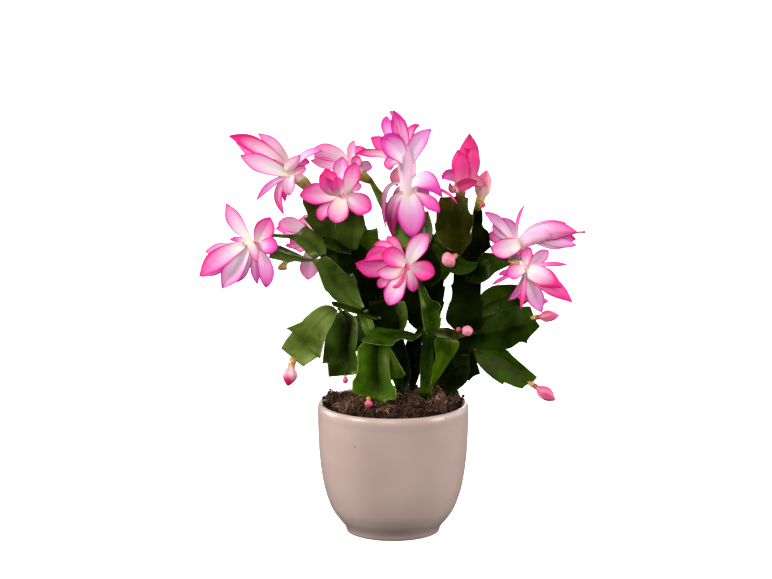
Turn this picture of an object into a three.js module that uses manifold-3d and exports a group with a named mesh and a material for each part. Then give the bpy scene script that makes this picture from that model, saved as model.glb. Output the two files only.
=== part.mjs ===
// A potted Christmas cactus: a rounded ceramic pot filled with soil, leafy stems
// made of flat toothed segments, flowers with their petals in two tiers, and buds.
// Millimetres, +Z up, the origin in the middle of the pot's flat foot, front at -Y.
//
// Places on the plant are [across, depth, height]. Height is counted on sheets that
// lean back by LEAN, so that a leaf or petal can be set deeper or nearer without
// moving its outline as somebody sees it who looks slightly down on the pot.

import * as THREE from "three";
import { mergeVertices } from "three/addons/utils/BufferGeometryUtils.js";
import Module from "manifold-3d";

const wasm = await Module();
wasm.setup();

// ---------------------------------------------------------------- dimensions
const LEAN = 0.2;              // fall in height for each millimetre of depth
const CLEAR = 0.3;             // space between neighbouring pieces

const POT_SIDES = 30;
const POT_FOOT = 32.7;         // radius of the foot
const POT_LIP = 50.2;          // radius of the middle of the rounded lip
const LIP_ROUND = 2.6;         // radius of the lip's rounding
const LIP_HEIGHT = 88.9;       // height of the middle of the lip's rounding
const POT_FLOOR = 6;           // thickness of the floor
const POT_WALL = 4.5;
const POT_SIDE = [             // outer radius and height up the bowl of the pot
  [32.7, 0], [32.7, 2.6], [34.6, 6], [39.7, 12], [44.1, 20],
  [48.3, 34], [50.9, 52], [52.1, 80],
];

const SOIL_EDGE = 87.5;        // height at which the soil meets the pot
const CLUMP_FOOT = 84;         // height at which clumps of fibre start inside the soil
const SOIL_MOUND = 6.5;        // how much higher the soil stands in the middle
const SOIL_RINGS = 4;
const ROOT_DEPTH = 14;         // how far a stem goes down into its hole
const ROOT_TOP = 98;           // height at which the root joins the first segment

const RIB = 1.05;              // half the thickness of a segment at its midrib
const RIM = 0.42;              // half the thickness of a segment at its edge
const PETAL_MID = 0.5;         // half the thickness of a petal along its middle
const PETAL_RIM = 0.32;        // half the thickness of a petal at its edge
const NARROW = 12.1;           // a petal below this width is flat across
const WIDEST = 0.62;           // how far along a petal its widest place is
const PETAL_STATIONS = [0, 0.34, 0.7, 1];
const NARROW_STATIONS = [0, 0.58, 1];

// ---------------------------------------------------------------- plant tables
// A segment is [from, through, to, width, turn, fold, tooth]. Turn is in degrees from
// facing the front, fold bends the two halves, tooth is how far its teeth stand out.
// A root is [across, depth, half width, half depth].
const stems = {
  stem_main: {
    root: [22, -4, 4.2, 2.6],
    segments: [
      [[22, -4, 96.5], [22, -4, 118], [24, -4, 145], 13, 0, 0.1, 0],
      [[25, -4, 142], [27, -6, 160], [18.5, -8, 181], 16, -15, 0.25, 1.0],
      [[19.5, -7.6, 174], [22, -4, 190], [23, -2, 207], 25, 12, 0.15, 0.8],
      [[24, -2, 203], [39, -5, 197], [57, -5, 187], 16, 15, 0.15, 1.6],
      [[45, -5, 195], [42, -7, 215], [40, -5, 237], 24.5, -5, 0.12, 1.4],
      [[22, -2, 203], [22.6, 2, 214], [22, 4, 227], 11, 52, 0.1, 0],
      [[22.5, -2.5, 200], [11, 3, 212], [12, 7.5, 234], 20, 10, 0.1, 1.2],
      [[12, 5, 209], [-2, 8, 225], [-15.5, 6, 249], 11, 60, 0.1, 2.0],
      [[25, -5, 103], [32, -11, 120], [38, -12, 138], 17, -25, -0.25, 1.2],
      [[24, -4, 140.5], [0, -12, 138], [-21, -18, 137], 20, -62, 0.1, 1.6],
      [[-12, -15.5, 137], [-12.5, -24, 117], [-13, -28, 95], 26, 0, 0.3, 2.0],
      [[-4, -13, 137.5], [1, -16, 122], [3, -17, 109], 14, -10, 0.1, 1.0],
      [[25, -4, 143], [42, -5, 142], [57, -4, 140], 14, 52, 0.1, 1.0],
    ],
  },
  stem_right: {
    root: [41, 3, 4.6, 2.6],
    segments: [
      [[41, 3, 98], [41, 4, 110], [46, 5, 128], 22, 5, 0.1, 1.0],
      [[52, 5, 142], [51.5, 5, 124], [53, 4, 109], 22, 8, 0.1, 1.4],
      [[45, 5, 122], [49, 6, 134], [51, 6, 146], 18, 0, 0.1, 0],
      [[51, 6, 142], [50, 7, 162], [52, 6, 184], 25, 25, -0.35, 1.2],
      [[55, 6, 141], [75, 1, 144.5], [98, -2, 149], 27, 8, -0.12, 2.2],
      [[53, 6, 151], [73, 9, 162], [91, 12, 166], 20, 10, 0.12, 1.6],
      [[56, 5, 129], [75, 0, 116.5], [97, -5, 105], 22, 22, -0.2, 1.8],
      [[52, 6, 180], [56.5, 5, 197], [58, 4, 214], 20, -10, 0.12, 1.8],
      [[58, 4, 211], [58.3, 4, 221], [58, 4, 230], 7, 0, 0.1, 0],
      [[52, 6, 178], [66, 1, 185.5], [82, -2, 191.5], 15, 20, 0.2, 1.0],
    ],
  },
  stem_left: {
    root: [6.5, 3, 3.4, 2.6],
    segments: [
      [[7, 3, 98], [8, 3, 116], [3, 3, 141], 13, 50, 0.1, 0],
      [[3, 3, 138], [-5, 1, 150], [-10, -2, 164], 18, 8, 0.15, 1.0],
      [[-9, -2, 151], [-26, -8, 157], [-43, -13, 161], 18, -68, 0.1, 1.8],
      [[-36, -12, 157], [-36, -16, 134], [-35, -17, 110.5], 23, 0, 0.3, 2.4],
      [[-37, -12, 158], [-54, -15, 142], [-67, -15, 123], 26, -18, -0.2, 1.8],
      [[-18, -5.5, 156], [-36, -9, 177], [-51, -14, 195], 20, -20, -0.22, 1.4],
      [[-52, -14, 192], [-70, -16, 195.5], [-86, -19, 198], 17, -52, 0.1, 1.6],
      [[-50, -14, 195], [-60, -12, 206], [-84, -9, 209], 19, -52, -0.3, 1.2],
      [[-21, -6.5, 156], [-18, -5, 147], [-15.5, -3, 139], 9, 20, 0.1, 0],
      [[3, 3, 139], [5, 3, 150], [4.5, 2, 163], 10, 0, 0.1, 0],
    ],
  },
  stem_rear_left: {
    root: [3.5, 13, 3.4, 2.6],
    segments: [
      [[3.5, 13, 99.5], [3, 13, 118], [-3, 12, 143], 13, -25, 0.1, 0],
      [[-2, 12, 139], [-9, 13, 154], [-14, 12, 170], 24, 0, 0.1, 1.0],
      [[-12, 12, 163], [-20, 11, 181], [-31, 9, 200], 27, 10, 0.15, 1.4],
      [[-30, 9, 196], [-31, 5, 213], [-27, 2, 229], 25, 8, 0.12, 1.8],
      [[-32, 9, 198], [-47.5, 7, 218], [-56, 6, 243], 18, -10, 0.12, 1.6],
      [[-25, 10, 186], [-19.5, 10, 197], [-15.5, 10, 208], 14, 0, 0.1, 1.2],
      [[-29, 8, 197], [-40, 2, 202], [-49, -2, 206], 10, -48, 0.1, 0],
      [[-27, 11, 192], [-37, 12, 196], [-47, 12, 199], 13, 0, 0.1, 0.8],
    ],
  },
  stem_rear: {
    root: [14, 20, 3.6, 2.6],
    segments: [
      [[14, 20, 101], [13.5, 18, 119], [15.5, 16, 138], 13, 10, 0.1, 0],
      [[14.5, 16, 131], [19, 17, 138], [25, 18, 146], 9, 0, 0.1, 0],
      [[24, 18, 139], [15, 18, 160], [11, 18, 184], 19, 10, 0.1, 1.2],
      [[24, 18, 141], [28, 17, 162], [29, 17, 184], 14, 0, 0.1, 1.2],
      [[24, 18, 139], [25, 30, 152], [26, 40, 170], 19, 160, 0.2, 1.2],
      [[26, 39, 165], [29, 42, 186], [42, 38, 206], 23, 165, 0.15, 2.0],
      [[28, 17, 180], [33, 22, 196], [41, 26, 213], 22, 170, 0.15, 2.0],
      [[11, 18, 180], [6, 24, 194], [9, 29, 210], 22, 190, 0.15, 2.0],
      [[22, 18, 139], [44, 36, 131], [66, 50, 124], 20, 200, -0.2, 2.0],
      [[25, 18, 143], [29, 20, 124], [29, 19, 105], 12, 0, 0.1, 0.8],
    ],
  },
  stem_rear_low: {
    root: [-10, 17, 3.6, 2.6],
    segments: [
      [[-10, 17, 100.5], [-11, 20, 115], [-12, 22, 133], 14, 160, 0.1, 0],
      [[-12, 22, 130], [-14, 36, 146], [-16, 46, 160], 24, 180, 0.25, 2.0],
      [[-15, 44, 156], [-14, 56, 150], [-13, 64, 136], 24, 180, -0.2, 2.4],
      [[-16, 44, 157], [-28, 46, 172], [-36, 42, 190], 24, 190, 0.2, 2.0],
      [[-15, 44, 157], [-6, 46, 172], [0, 42, 192], 24, 170, 0.2, 2.0],
      [[-12, 22, 129], [-30, 30, 137], [-46, 36, 142], 22, 205, 0.2, 2.0],
    ],
  },
};

// A bloom sits on a stalk, [from, to, radius], which is its green ovary and part of
// the stem. Its throat, the closed tube of the flower, is given by more knots, each
// [place, radius]. A petal is [from, through, to, width, turn, cup, point]: cup bends
// its edges to the face, point is 0 for a round end and 1 for a sharp one.
const blooms = {
  bloom_upper_left: {
    stem: "stem_rear_left",
    stalk: [[-56.5, 6, 241], [-64.5, 0, 248], 3.4],
    throat: [[[-75, -8, 257], 3.2], [[-84, -13, 263], 1.4]],
    petals: [
      [[-71, -6, 254], [-92, -13, 271], [-112.5, -16, 278.5], 11, 20, 0.45, 0.6],
      [[-72, -5, 254], [-92, -8, 267], [-108, -9, 274], 11, 10, 0.3, 0.9],
      [[-70, -4, 255], [-81, 1, 271], [-93.5, 3, 281], 8, 48, 0.3, 0.7],
      [[-71, -8, 252], [-89, -16, 258.5], [-104.5, -20, 265], 13, -10, 0.35, 0.5],
      [[-70, -7, 251], [-83, -11, 244.5], [-93.5, -12, 233.7], 6.5, 30, 0.4, 0.4],
      [[-70, -6, 251], [-78.5, -9, 239], [-74.7, -9, 224.5], 6, 35, 0.3, 0.3],
      [[-69, -6, 252], [-71.5, -12, 245], [-70.8, -13, 237.2], 9, 0, 0.35, 0],
      [[-70, -3, 251], [-74, -3, 241], [-74.2, -2, 233], 4, 20, 0.2, 0.2],
      [[-74, -9, 254.5], [-69, -13, 259], [-63.5, -11, 265.5], 8, -10, -0.35, 0],
      [[-69, -4, 254], [-60, -5, 265.5], [-48.3, -5, 268.3], 6, 30, 0.3, 0.3],
      [[-69, -3, 254], [-63, -3, 260], [-57.2, -2.5, 260], 6, 0, 0.2, 0],
      [[-69, -5, 252], [-64, -8, 255], [-59.3, -8, 256], 6, 0, 0.25, 0],
    ],
  },
  bloom_left: {
    stem: "stem_left",
    stalk: [[-83, -19, 197.5], [-88.5, -21, 200], 3.0],
    throat: [[[-95, -24, 202.5], 4.8], [[-101, -27, 204], 4.8], [[-109, -30, 203], 2.2]],
    petals: [
      [[-99, -25, 206], [-108.5, -23, 218], [-114, -21, 231.3], 10, 15, 0.4, 0.5],
      [[-93, -23, 203], [-89, -26, 213], [-84.5, -27, 221.5], 14, -10, 0.35, 0.1],
      [[-92, -25, 202], [-84.5, -31, 202], [-78.6, -33, 201.5], 12, 10, 0.25, 0],
      [[-93, -25, 200], [-87.5, -30, 187], [-87, -31, 173], 11, 10, 0.3, 0],
      [[-94, -23, 200], [-95, -23, 188], [-94.7, -22, 180], 6, 10, 0.2, 0.3],
      [[-99, -29, 206], [-95, -34, 199], [-93.3, -35, 190.5], 6.5, 15, -0.3, 0],
      [[-99, -29, 202], [-108, -34, 187], [-117, -37, 172], 15, 0, 0.75, 0.7],
      [[-98, -26, 201], [-102.5, -27, 187], [-111, -28, 175.5], 11, -20, 0.2, 0.6],
      [[-101, -29, 203], [-117.5, -37, 193.5], [-132.4, -40, 180.3], 14, -12, 0.4, 0.8],
      [[-102, -27, 202], [-118, -31, 190], [-131, -34, 180.5], 11, 0, 0.2, 0.7],
      [[-102, -26, 203], [-116, -23, 200.5], [-129, -21, 198], 7, 0, 0.2, 0.4],
      [[-101, -24, 205], [-106, -21, 206.5], [-112, -20, 206.5], 4, 0, 0.2, 0.4],
    ],
  },
  bloom_front_left: {
    stem: "stem_rear_left",
    stalk: [[-27, 2, 226], [-31.5, -5, 233], 3.2],
    throat: [[[-34, -10, 236], 4.6], [[-38, -16, 241], 5], [[-44, -24, 249], 3]],
    petals: [
      [[-36, -12, 237], [-50, -15, 238.5], [-64, -17, 237], 15, 0, 0.2, 0.1],
      [[-36, -10, 235], [-47, -13, 227], [-48, -15, 219.7], 9, 0, 0.25, 0],
      [[-35, -12, 236], [-37.5, -18, 227], [-40.3, -20, 218.2], 15, 0, 0.3, 0],
      [[-33, -10, 237], [-24, -13, 232], [-14.8, -12, 227], 15.5, 0, 0.2, 0],
      [[-33, -12, 238], [-29, -12, 249.5], [-25.5, -9, 260.4], 11.5, -10, 0.35, 0.2],
      [[-35, -11, 240], [-36, -7, 253], [-34.5, -4, 264.4], 11, 0, 0.25, 0.1],
      [[-36, -16, 238], [-37, -23, 243], [-39, -27, 250], 10, -15, -0.45, 0.1],
      [[-38, -16, 238], [-44.5, -22, 242.5], [-49.7, -26, 252], 10, 15, -0.4, 0.2],
      [[-38, -15, 240], [-43, -21, 247], [-46, -25, 256], 12, 0, -0.2, 0.2],
      [[-33, -8, 239], [-26, -6, 243], [-21.5, -4, 243.5], 6, 0, 0.2, 0],
    ],
  },
  bloom_behind_left: {
    stem: "stem_main",
    stalk: [[-15.5, 6, 247], [-20.5, 6, 250.5], 3.4],
    throat: [[[-25.5, 6, 254.5], 3.8], [[-30, 7, 259], 3.6], [[-38, 7, 262], 1.6]],
    petals: [
      [[-30, 5, 260], [-43, 4, 267], [-57, 3, 267.5], 12, -5, 0.35, 0.2],
      [[-31, 4, 258], [-44, 2, 259.5], [-57, 1, 262], 8, 0, 0.3, 0.4],
      [[-33, 7, 261], [-43, 9, 263], [-55, 10, 264.5], 8, 0, 0.2, 0.3],
      [[-27, 5, 258], [-28.5, 3, 268], [-26.7, 2, 276], 6.5, 10, 0.3, 0.2],
      [[-26, 6, 258], [-26.5, 7, 267], [-18.5, 7, 270.3], 7, 20, 0.35, 0.2],
      [[-26, 3, 256], [-25, 0, 261], [-22.5, -1, 264.5], 8, 0, 0.25, 0],
      [[-24, 7, 257], [-20, 9, 258], [-14.4, 11, 256.5], 8.2, 0, 0.2, 0],
      [[-26, 9, 257], [-32, 16, 261], [-38, 22, 265], 10, 180, 0.3, 0.2],
      [[-26, 8, 254], [-28, 17, 250], [-33, 25, 245], 11, 180, 0.3, 0.1],
    ],
  },
  bloom_top: {
    stem: "stem_main",
    stalk: [[12, 7, 230], [11, 3, 235.5], 3.4],
    throat: [[[10.5, -1, 242], 5.2], [[9.8, -2, 252], 5], [[9, -3, 262], 5.6], [[8, -5, 272], 3]],
    petals: [
      [[11, -3, 240], [13, -7, 223], [12.5, -8, 208.4], 19, 0, 0.22, 0],
      [[8, -4, 241], [-2, -8, 229], [-0.3, -8, 207.4], 8.5, 15, 0.35, 0.6],
      [[7, -2, 243], [-5, -3, 236], [-4.6, -3, 215.3], 6, 55, 0.3, 0.2],
      [[12, -4, 247], [22.5, -13, 248.5], [34, -14, 235.5], 14, 15, -0.35, 0.4],
      [[13, -3, 241], [24, -8, 234.5], [32, -12, 225], 9, 10, 0.3, 0.4],
      [[13.5, -2, 243], [33, -10, 241], [44, -12, 231], 2.4, 0, 0, 0.3],
      [[8, 0, 262], [-2.5, 2, 282], [-4.2, 3, 293], 8, 15, 0.3, 0.4],
      [[8.5, -1, 262], [3.8, -3, 283], [0, -4, 297], 10, 0, 0.4, 0.5],
      [[8, -6, 261], [0, -15, 271], [-9, -19, 276], 17, -10, 0.3, 0],
      [[6, -3, 263], [-6, -4, 271], [-15.5, -6, 278], 11, -20, 0.2, 0.3],
      [[6, -6, 263], [-12, -9, 266.7], [-26, -8, 266.2], 6, 25, 0.3, 0.4],
      [[6, -6, 263], [-1.5, -11, 260.5], [-1, -12, 255], 9, 0, 0.3, 0.1],
      [[7.5, 0, 257], [0, 2, 253], [1, 3, 246.8], 8, 0, 0.2, 0.3],
      [[11, -4, 256], [15.8, -6, 271.5], [26.5, -5, 284], 12, 10, 0.25, 0.5],
      [[10, -1, 264], [11, 3, 280], [18.5, 6, 286.7], 6, 20, 0.3, 0],
      [[11, 2, 243], [18, 14, 240], [22, 22, 230], 14, 180, 0.25, 0.1],
      [[9, 2, 244], [6, 12, 238], [4, 19, 228], 12, 180, 0.25, 0.1],
      [[9, 1, 262], [12, 14, 276], [14, 22, 282], 13, 180, 0.3, 0.3],
    ],
    pistil: [[[8.5, -3.5, 266], 0.8], [[1.5, -6.5, 288], 0.7], [[-1.6, -7, 295.4], 1.3]],
  },
  bloom_upper_right: {
    stem: "stem_main",
    stalk: [[45, -5, 233.5], [46.5, -5, 240.5], 3.6],
    throat: [[[47, -5, 247], 5.2], [[49, -5, 257], 6.2], [[51, -5, 270], 3]],
    petals: [
      [[49, -5, 250], [52, -6, 266], [52, -6, 281], 14, 0, -0.4, 0.6],
      [[46, -6, 248], [44.5, -9, 259], [44.3, -7, 268.7], 9, 15, -0.35, 0.3],
      [[47, -8, 248], [47.5, -12, 258], [49, -10, 266.5], 11, 0, -0.4, 0.3],
      [[51, -6, 250], [56, -9, 259], [58, -7, 267], 9, -15, -0.35, 0.3],
      [[49, -2, 250], [52.5, 2, 264], [53, 3, 275], 11, 180, -0.35, 0.5],
      [[45, -5, 245.5], [39.5, -7, 253], [33.2, -8, 248.8], 7, 10, 0.3, 0.2],
      [[48, -7, 244.5], [55.5, -11, 245.5], [63.3, -12, 244], 7, 10, 0.3, 0.2],
      [[46, -9, 246], [49.5, -13, 247.5], [55.5, -14, 248.4], 8, 0, 0.4, 0],
      [[45, -4, 246], [41, -4, 241.5], [38.8, -4, 246.5], 5.5, 0, -0.3, 0.1],
      [[48, -1, 246], [54, 8, 250], [60, 14, 250], 9, 180, 0.3, 0.1],
    ],
  },
  bloom_right: {
    stem: "stem_right",
    stalk: [[77, -0.5, 190], [79.5, 5, 197.5], 3.0],
    throat: [[[84, 8, 202], 5], [[91, 6, 207], 5.2], [[99, 3, 210.5], 5], [[108, 1, 212], 2.6]],
    petals: [
      [[84, 9, 202], [75, 12, 201], [67, 13, 200.5], 14, 10, 0.2, 0],
      [[83, 9, 204], [73, 14, 208], [65.2, 16, 208.5], 9, 0, 0.2, 0],
      [[83, 8, 205], [74, 5, 217], [62.8, -1, 225.8], 8, -10, 0.35, 0.2],
      [[84, 9, 206], [81, 12, 213.5], [75, 14, 222], 10.5, 0, 0.2, 0.1],
      [[82, 10, 206], [74, 13, 211], [69, 14, 217.5], 7, 0, 0.2, 0.3],
      [[86.5, 3, 205], [85.6, -1, 218], [90.7, -3, 231.5], 4, 50, 0.2, 0.3],
      [[84, 5, 201], [87, 3, 197], [88.2, 2, 197.5], 4, 0, 0.2, 0.2],
      [[88, 5, 210], [103, 4, 218.8], [119.6, 3, 218.7], 8, 15, -0.3, 0.2],
      [[96, 2, 209], [110.5, -3, 212.5], [127.3, -4, 211.2], 13.5, -8, -0.4, 0.45],
      [[97, 5, 207], [108, 4, 203], [119.6, 2, 201.3], 6, 0, -0.3, 0.2],
      [[100, 4, 208], [113, 2, 205], [126.5, 0, 202.4], 8, 0, -0.3, 0.1],
      [[102, 5, 209], [115, 6, 208], [126.4, 6, 206.8], 8, 0, 0, 0.1],
      [[96, 6, 210], [108, 13, 214], [120, 16, 210], 12, 180, -0.3, 0.3],
      [[84, 11, 204], [78, 20, 206], [72, 27, 214], 12, 180, 0.3, 0.1],
      [[85, 11, 202], [86, 19, 196], [84, 27, 188], 12, 180, 0.3, 0.1],
    ],
    pistil: [[[106, 0, 212], 0.7], [[120, -2, 211.4], 0.7], [[131.3, -2, 211.8], 0.9]],
  },
  bloom_lower_right: {
    stem: "stem_right",
    stalk: [[79, -2, 191.5], [87, -5, 189.3], 2.3],
    throat: [[[91, -8, 186.8], 4.4], [[97, -10, 183.5], 4], [[105, -12, 179], 1.6]],
    petals: [
      [[91, -7, 188], [92, -9, 195], [94.5, -10, 201], 8.5, 10, 0.3, 0],
      [[93, -6, 188], [100.5, -7, 194], [107, -7, 198.7], 9, -10, 0.3, 0],
      [[94, -8, 188], [107, -11, 189.2], [120, -12, 189], 3.6, 0, 0, 0.2],
      [[92, -10, 185], [103, -19, 180.5], [115.5, -22, 173], 13.5, 0, -0.35, 0.1],
      [[93, -9, 183], [109.5, -12, 174], [123.7, -14, 162], 12.5, 10, -0.4, 0.4],
      [[92, -8, 184], [96.5, -9, 169], [102.7, -10, 155.2], 12, 10, 0.3, 0.4],
      [[91, -10, 184.5], [89.6, -14, 171], [88, -15, 157.8], 4, 0, 0.2, 0.2],
      [[90.5, -9, 184.5], [87.5, -12, 173.5], [79, -14, 163.7], 7, 30, 0.4, 0.4],
      [[91, -10, 186], [83.5, -14, 184], [77.6, -15, 183], 11, -5, 0.3, 0],
      [[90, -8, 185], [76, -12, 179.5], [67.6, -12, 174.2], 3, 0, 0, 0.4],
      [[90, -8, 186], [80, -11, 184], [72, -12, 182], 4.5, 0, 0, 0.4],
      [[92, -6, 185], [95, 3, 181], [99, 8, 172], 10, 180, 0.3, 0.1],
      [[92, -5, 187], [97, 4, 191], [104, 9, 195], 9, 180, 0.3, 0.1],
    ],
  },
  bloom_front: {
    stem: "stem_main",
    stalk: [[18, -8, 178], [13.8, -11, 184], 2.4],
    throat: [[[10.5, -16, 187.5], 4.6], [[5, -21, 189], 5], [[-4, -27, 191], 2.4]],
    petals: [
      [[11, -16, 189], [16, -18, 199.5], [22.5, -18, 210.6], 14, 0, 0.25, 0],
      [[12, -16, 188], [20, -18, 186.5], [28.2, -18, 184.5], 14.5, 0, 0.2, 0],
      [[11, -17, 186], [13.5, -20, 177], [13, -20, 170], 9, 0, 0.25, 0],
      [[8.5, -19, 185], [3.5, -25, 172], [-1, -26, 160.5], 14, 0, 0.3, 0.1],
      [[5, -19, 186], [-6, -20, 178], [-9, -20, 173], 8, 0, 0.2, 0],
      [[8, -21, 187], [-1, -28, 183.5], [-11.3, -30, 184.5], 10.5, 0, 0.3, 0],
      [[2, -22, 189], [-12, -26, 187], [-25.7, -29, 190], 14, 5, 0.25, 0.4],
      [[8, -21, 189], [0, -30, 194], [-8, -33, 196], 14, -10, 0.3, 0],
      [[2, -22, 191], [-9, -28, 194.5], [-19.5, -31, 191.2], 8, 0, 0.3, 0.4],
      [[4, -18, 192], [-4, -20, 201.5], [-13, -21, 202.3], 7, 0, 0.3, 0.1],
      [[8, -16, 191], [1, -14, 202], [-4.5, -13, 208.6], 9, 0, 0.25, 0.3],
      [[9.5, -19, 188], [7, -27, 178], [0.6, -29, 173.3], 3.4, 0, 0, 0.2],
    ],
  },
  bloom_rear_left: {
    stem: "stem_rear_left",
    stalk: [[-45, 8, 208], [-51.5, 13, 206], 2.8],
    throat: [[[-55, 17, 205], 4.4], [[-59, 23, 206], 5], [[-63, 31, 208], 3]],
    petals: [
      [[-57, 18, 207], [-68.5, 15, 216.3], [-79.8, 13, 216.8], 11, 0, 0.2, 0],
      [[-57, 18, 205], [-67, 17, 202.5], [-75, 16, 202.7], 4.5, 0, 0.2, 0.2],
      [[-56, 18, 204], [-58, 16, 189], [-59, 14, 177.8], 13, 0, 0.2, 0.3],
      [[-55.5, 17, 207], [-57.5, 13, 212.5], [-61.3, 12, 218], 4, 70, 0, 0.3],
      [[-55, 19, 207], [-46, 24, 214], [-38, 28, 218], 12, 180, 0.3, 0],
      [[-60, 26, 207], [-70, 36, 214], [-82, 42, 214], 13, 180, -0.3, 0.4],
      [[-60, 26, 206], [-66, 40, 204], [-70, 52, 200], 13, 180, -0.3, 0.4],
      [[-60, 26, 209], [-60, 38, 218], [-62, 48, 224], 12, 180, -0.3, 0.4],
    ],
  },
  bloom_rear_right: {
    stem: "stem_rear",
    stalk: [[41.5, 38, 203], [44, 41, 209], 3.0],
    throat: [[[46.5, 43.5, 213.5], 4.6], [[47, 48, 219], 5], [[46, 55, 226], 2.6]],
    petals: [
      [[46, 44, 217], [46, 48, 226], [45, 53, 232], 10, 180, 0.3, 0.1],
      [[45, 44, 216], [38, 46, 223], [35, 50, 229], 11, 180, 0.3, 0.1],
      [[48, 45, 213], [59, 50, 208], [67, 54, 202], 11, 180, 0.3, 0],
      [[45, 45, 214], [35, 50, 210], [30, 54, 203], 12, 180, 0.3, 0],
      [[47, 46, 214], [47, 57, 207], [49, 62, 194], 13, 180, 0.3, 0],
      [[46, 50, 221], [53, 61, 213], [61, 68, 205], 12, 180, -0.3, 0.4],
      [[46, 50, 221], [38, 60, 226], [32, 67, 226], 12, 180, -0.3, 0.4],
      [[46, 51, 221], [46, 66, 228], [47, 78, 228], 13, 180, -0.3, 0.4],
    ],
    pistil: [[[46, 53, 225], 0.7], [[46, 68, 240], 0.7], [[46, 76, 245], 1.1]],
  },
  bloom_rear_low: {
    stem: "stem_rear_low",
    stalk: [[-35, 42, 187], [-36, 47, 193], 3.0],
    throat: [[[-36, 50, 197.5], 4.6], [[-34, 56, 201], 4.8], [[-31, 64, 204], 2.6]],
    petals: [
      [[-37, 51, 200], [-43, 52, 210], [-49, 56, 216], 12, 180, 0.3, 0],
      [[-35, 51, 199], [-32, 50, 210], [-33, 54, 220], 12, 180, 0.3, 0],
      [[-37, 53, 197], [-43, 58, 188], [-51, 61, 182], 12, 180, 0.3, 0],
      [[-36, 54, 198], [-40, 63, 188], [-44, 66, 177], 12, 180, 0.3, 0],
      [[-33, 58, 202], [-26, 68, 206], [-21, 76, 205], 12, 180, -0.3, 0.4],
      [[-33, 58, 202], [-38, 72, 208], [-42, 82, 208], 13, 180, -0.3, 0.4],
      [[-33, 58, 201], [-24, 72, 198], [-18, 82, 192], 12, 180, -0.3, 0.4],
    ],
    pistil: [[[-32, 62, 203], 0.7], [[-27, 77, 208], 0.7], [[-24, 86, 209], 1.1]],
  },
};

// A bud is [stem, stalk from, stalk to, stalk radius, end, width, fullest point along it].
const buds = {
  bud_round_middle: ["stem_main", [43.5, -6, 196], [42, -11.5, 194.5], 1.8, [34, -17, 190], 11.2, 0.5],
  bud_tall_right: ["stem_right", [58.5, 4, 227], [60.8, 2, 234], 2.7, [64.4, 0, 255.3], 9.6, 0.42],
  bud_small_right: ["stem_right", [58.4, 3.6, 228], [60.2, 0, 229.6], 1.1, [63, -4, 231.8], 4, 0.5],
  bud_right: ["stem_right", [95, -2, 151], [99, -3, 151.8], 1.9, [114.9, -5, 153.2], 8.2, 0.45],
  bud_behind_right: ["stem_right", [87, 10.5, 166], [91.5, 6, 164], 1.7, [107.8, 3, 163], 6.2, 0.5],
  bud_low_right: ["stem_right", [93, -4, 106], [97.5, -6, 103.6], 1.9, [112.2, -10, 93], 9.4, 0.5],
  bud_tiny_middle: ["stem_main", [44, -6, 142.5], [45, -10, 143], 1.1, [45.4, -14, 143.4], 3.6, 0.5],
  bud_round_low: ["stem_main", [51, -5.5, 141], [51, -10, 142], 1.5, [51.3, -17.5, 142.6], 7.4, 0.5],
  bud_low_left: ["stem_left", [-68, -15, 124], [-69.5, -16, 120.5], 2.0, [-72.6, -18, 103.3], 10, 0.5],
  bud_small_left: ["stem_left", [-33, -17, 111.5], [-33, -17.5, 109.3], 1.3, [-33, -18, 105.3], 4, 0.55],
  bud_small_front: ["stem_main", [-17, -28.5, 96], [-17, -30, 93], 1.3, [-17, -31.5, 88.6], 5, 0.55],
  bud_orange_left: ["stem_left", [-71, -17.5, 194.5], [-74, -19.5, 188.5], 1.3, [-79.3, -22, 186], 6, 0],
  bud_rear_right: ["stem_rear", [64, 49, 124.5], [68.5, 52, 122.5], 1.9, [80, 58, 117], 8, 0.45],
  bud_rear_middle: ["stem_rear_low", [0, 42, 189], [1, 47, 194], 3.0, [4, 56, 204], 9, 0.45],
  bud_rear_left: ["stem_rear_low", [-44, 36, 141], [-48, 38, 142], 1.9, [-59, 41, 143], 8, 0.45],
};

// ---------------------------------------------------------------- materials
const finish = (color, roughness) => new THREE.MeshStandardMaterial({ color, roughness, metalness: 0 });
const ceramic = finish("#bfa796", 0.38);
const soilBrown = finish("#4d3a2b", 0.95);
const leafGreen = finish("#3c5a14", 0.42);
const petalPink = finish("#ee8fbf", 0.55);
const petalRose = finish("#d93a78", 0.5);
const budSalmon = finish("#eb9d99", 0.5);

// ---------------------------------------------------------------- helpers
const front = new THREE.Vector3(0, -1, LEAN).normalize();

function place([across, depth, height]) {
  return new THREE.Vector3(across, depth, height - LEAN * depth);
}

function pathThrough(from, through, to) {
  const start = place(from);
  const end = place(to);
  const pull = place(through).multiplyScalar(2).sub(start.clone().add(end).multiplyScalar(0.5));
  return new THREE.QuadraticBezierCurve3(start, pull, end);
}

// Frames along a path: forward, side and face. The middle one faces the front, and
// its neighbours follow the path's bend without twisting.
function framesAlong(path, stations) {
  const middle = Math.floor(stations.length / 2);
  const frames = [];
  const frameAt = (index, earlierFace) => {
    const forward = path.getTangent(stations[index]);
    const face = earlierFace.clone().addScaledVector(forward, -earlierFace.dot(forward)).normalize();
    const side = forward.clone().cross(face);
    frames[index] = { point: path.getPoint(stations[index]), forward, side, face };
  };
  frameAt(middle, front);
  for (let i = middle + 1; i < stations.length; i++) frameAt(i, frames[i - 1].face);
  for (let i = middle - 1; i >= 0; i--) frameAt(i, frames[i + 1].face);
  return frames;
}

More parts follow.
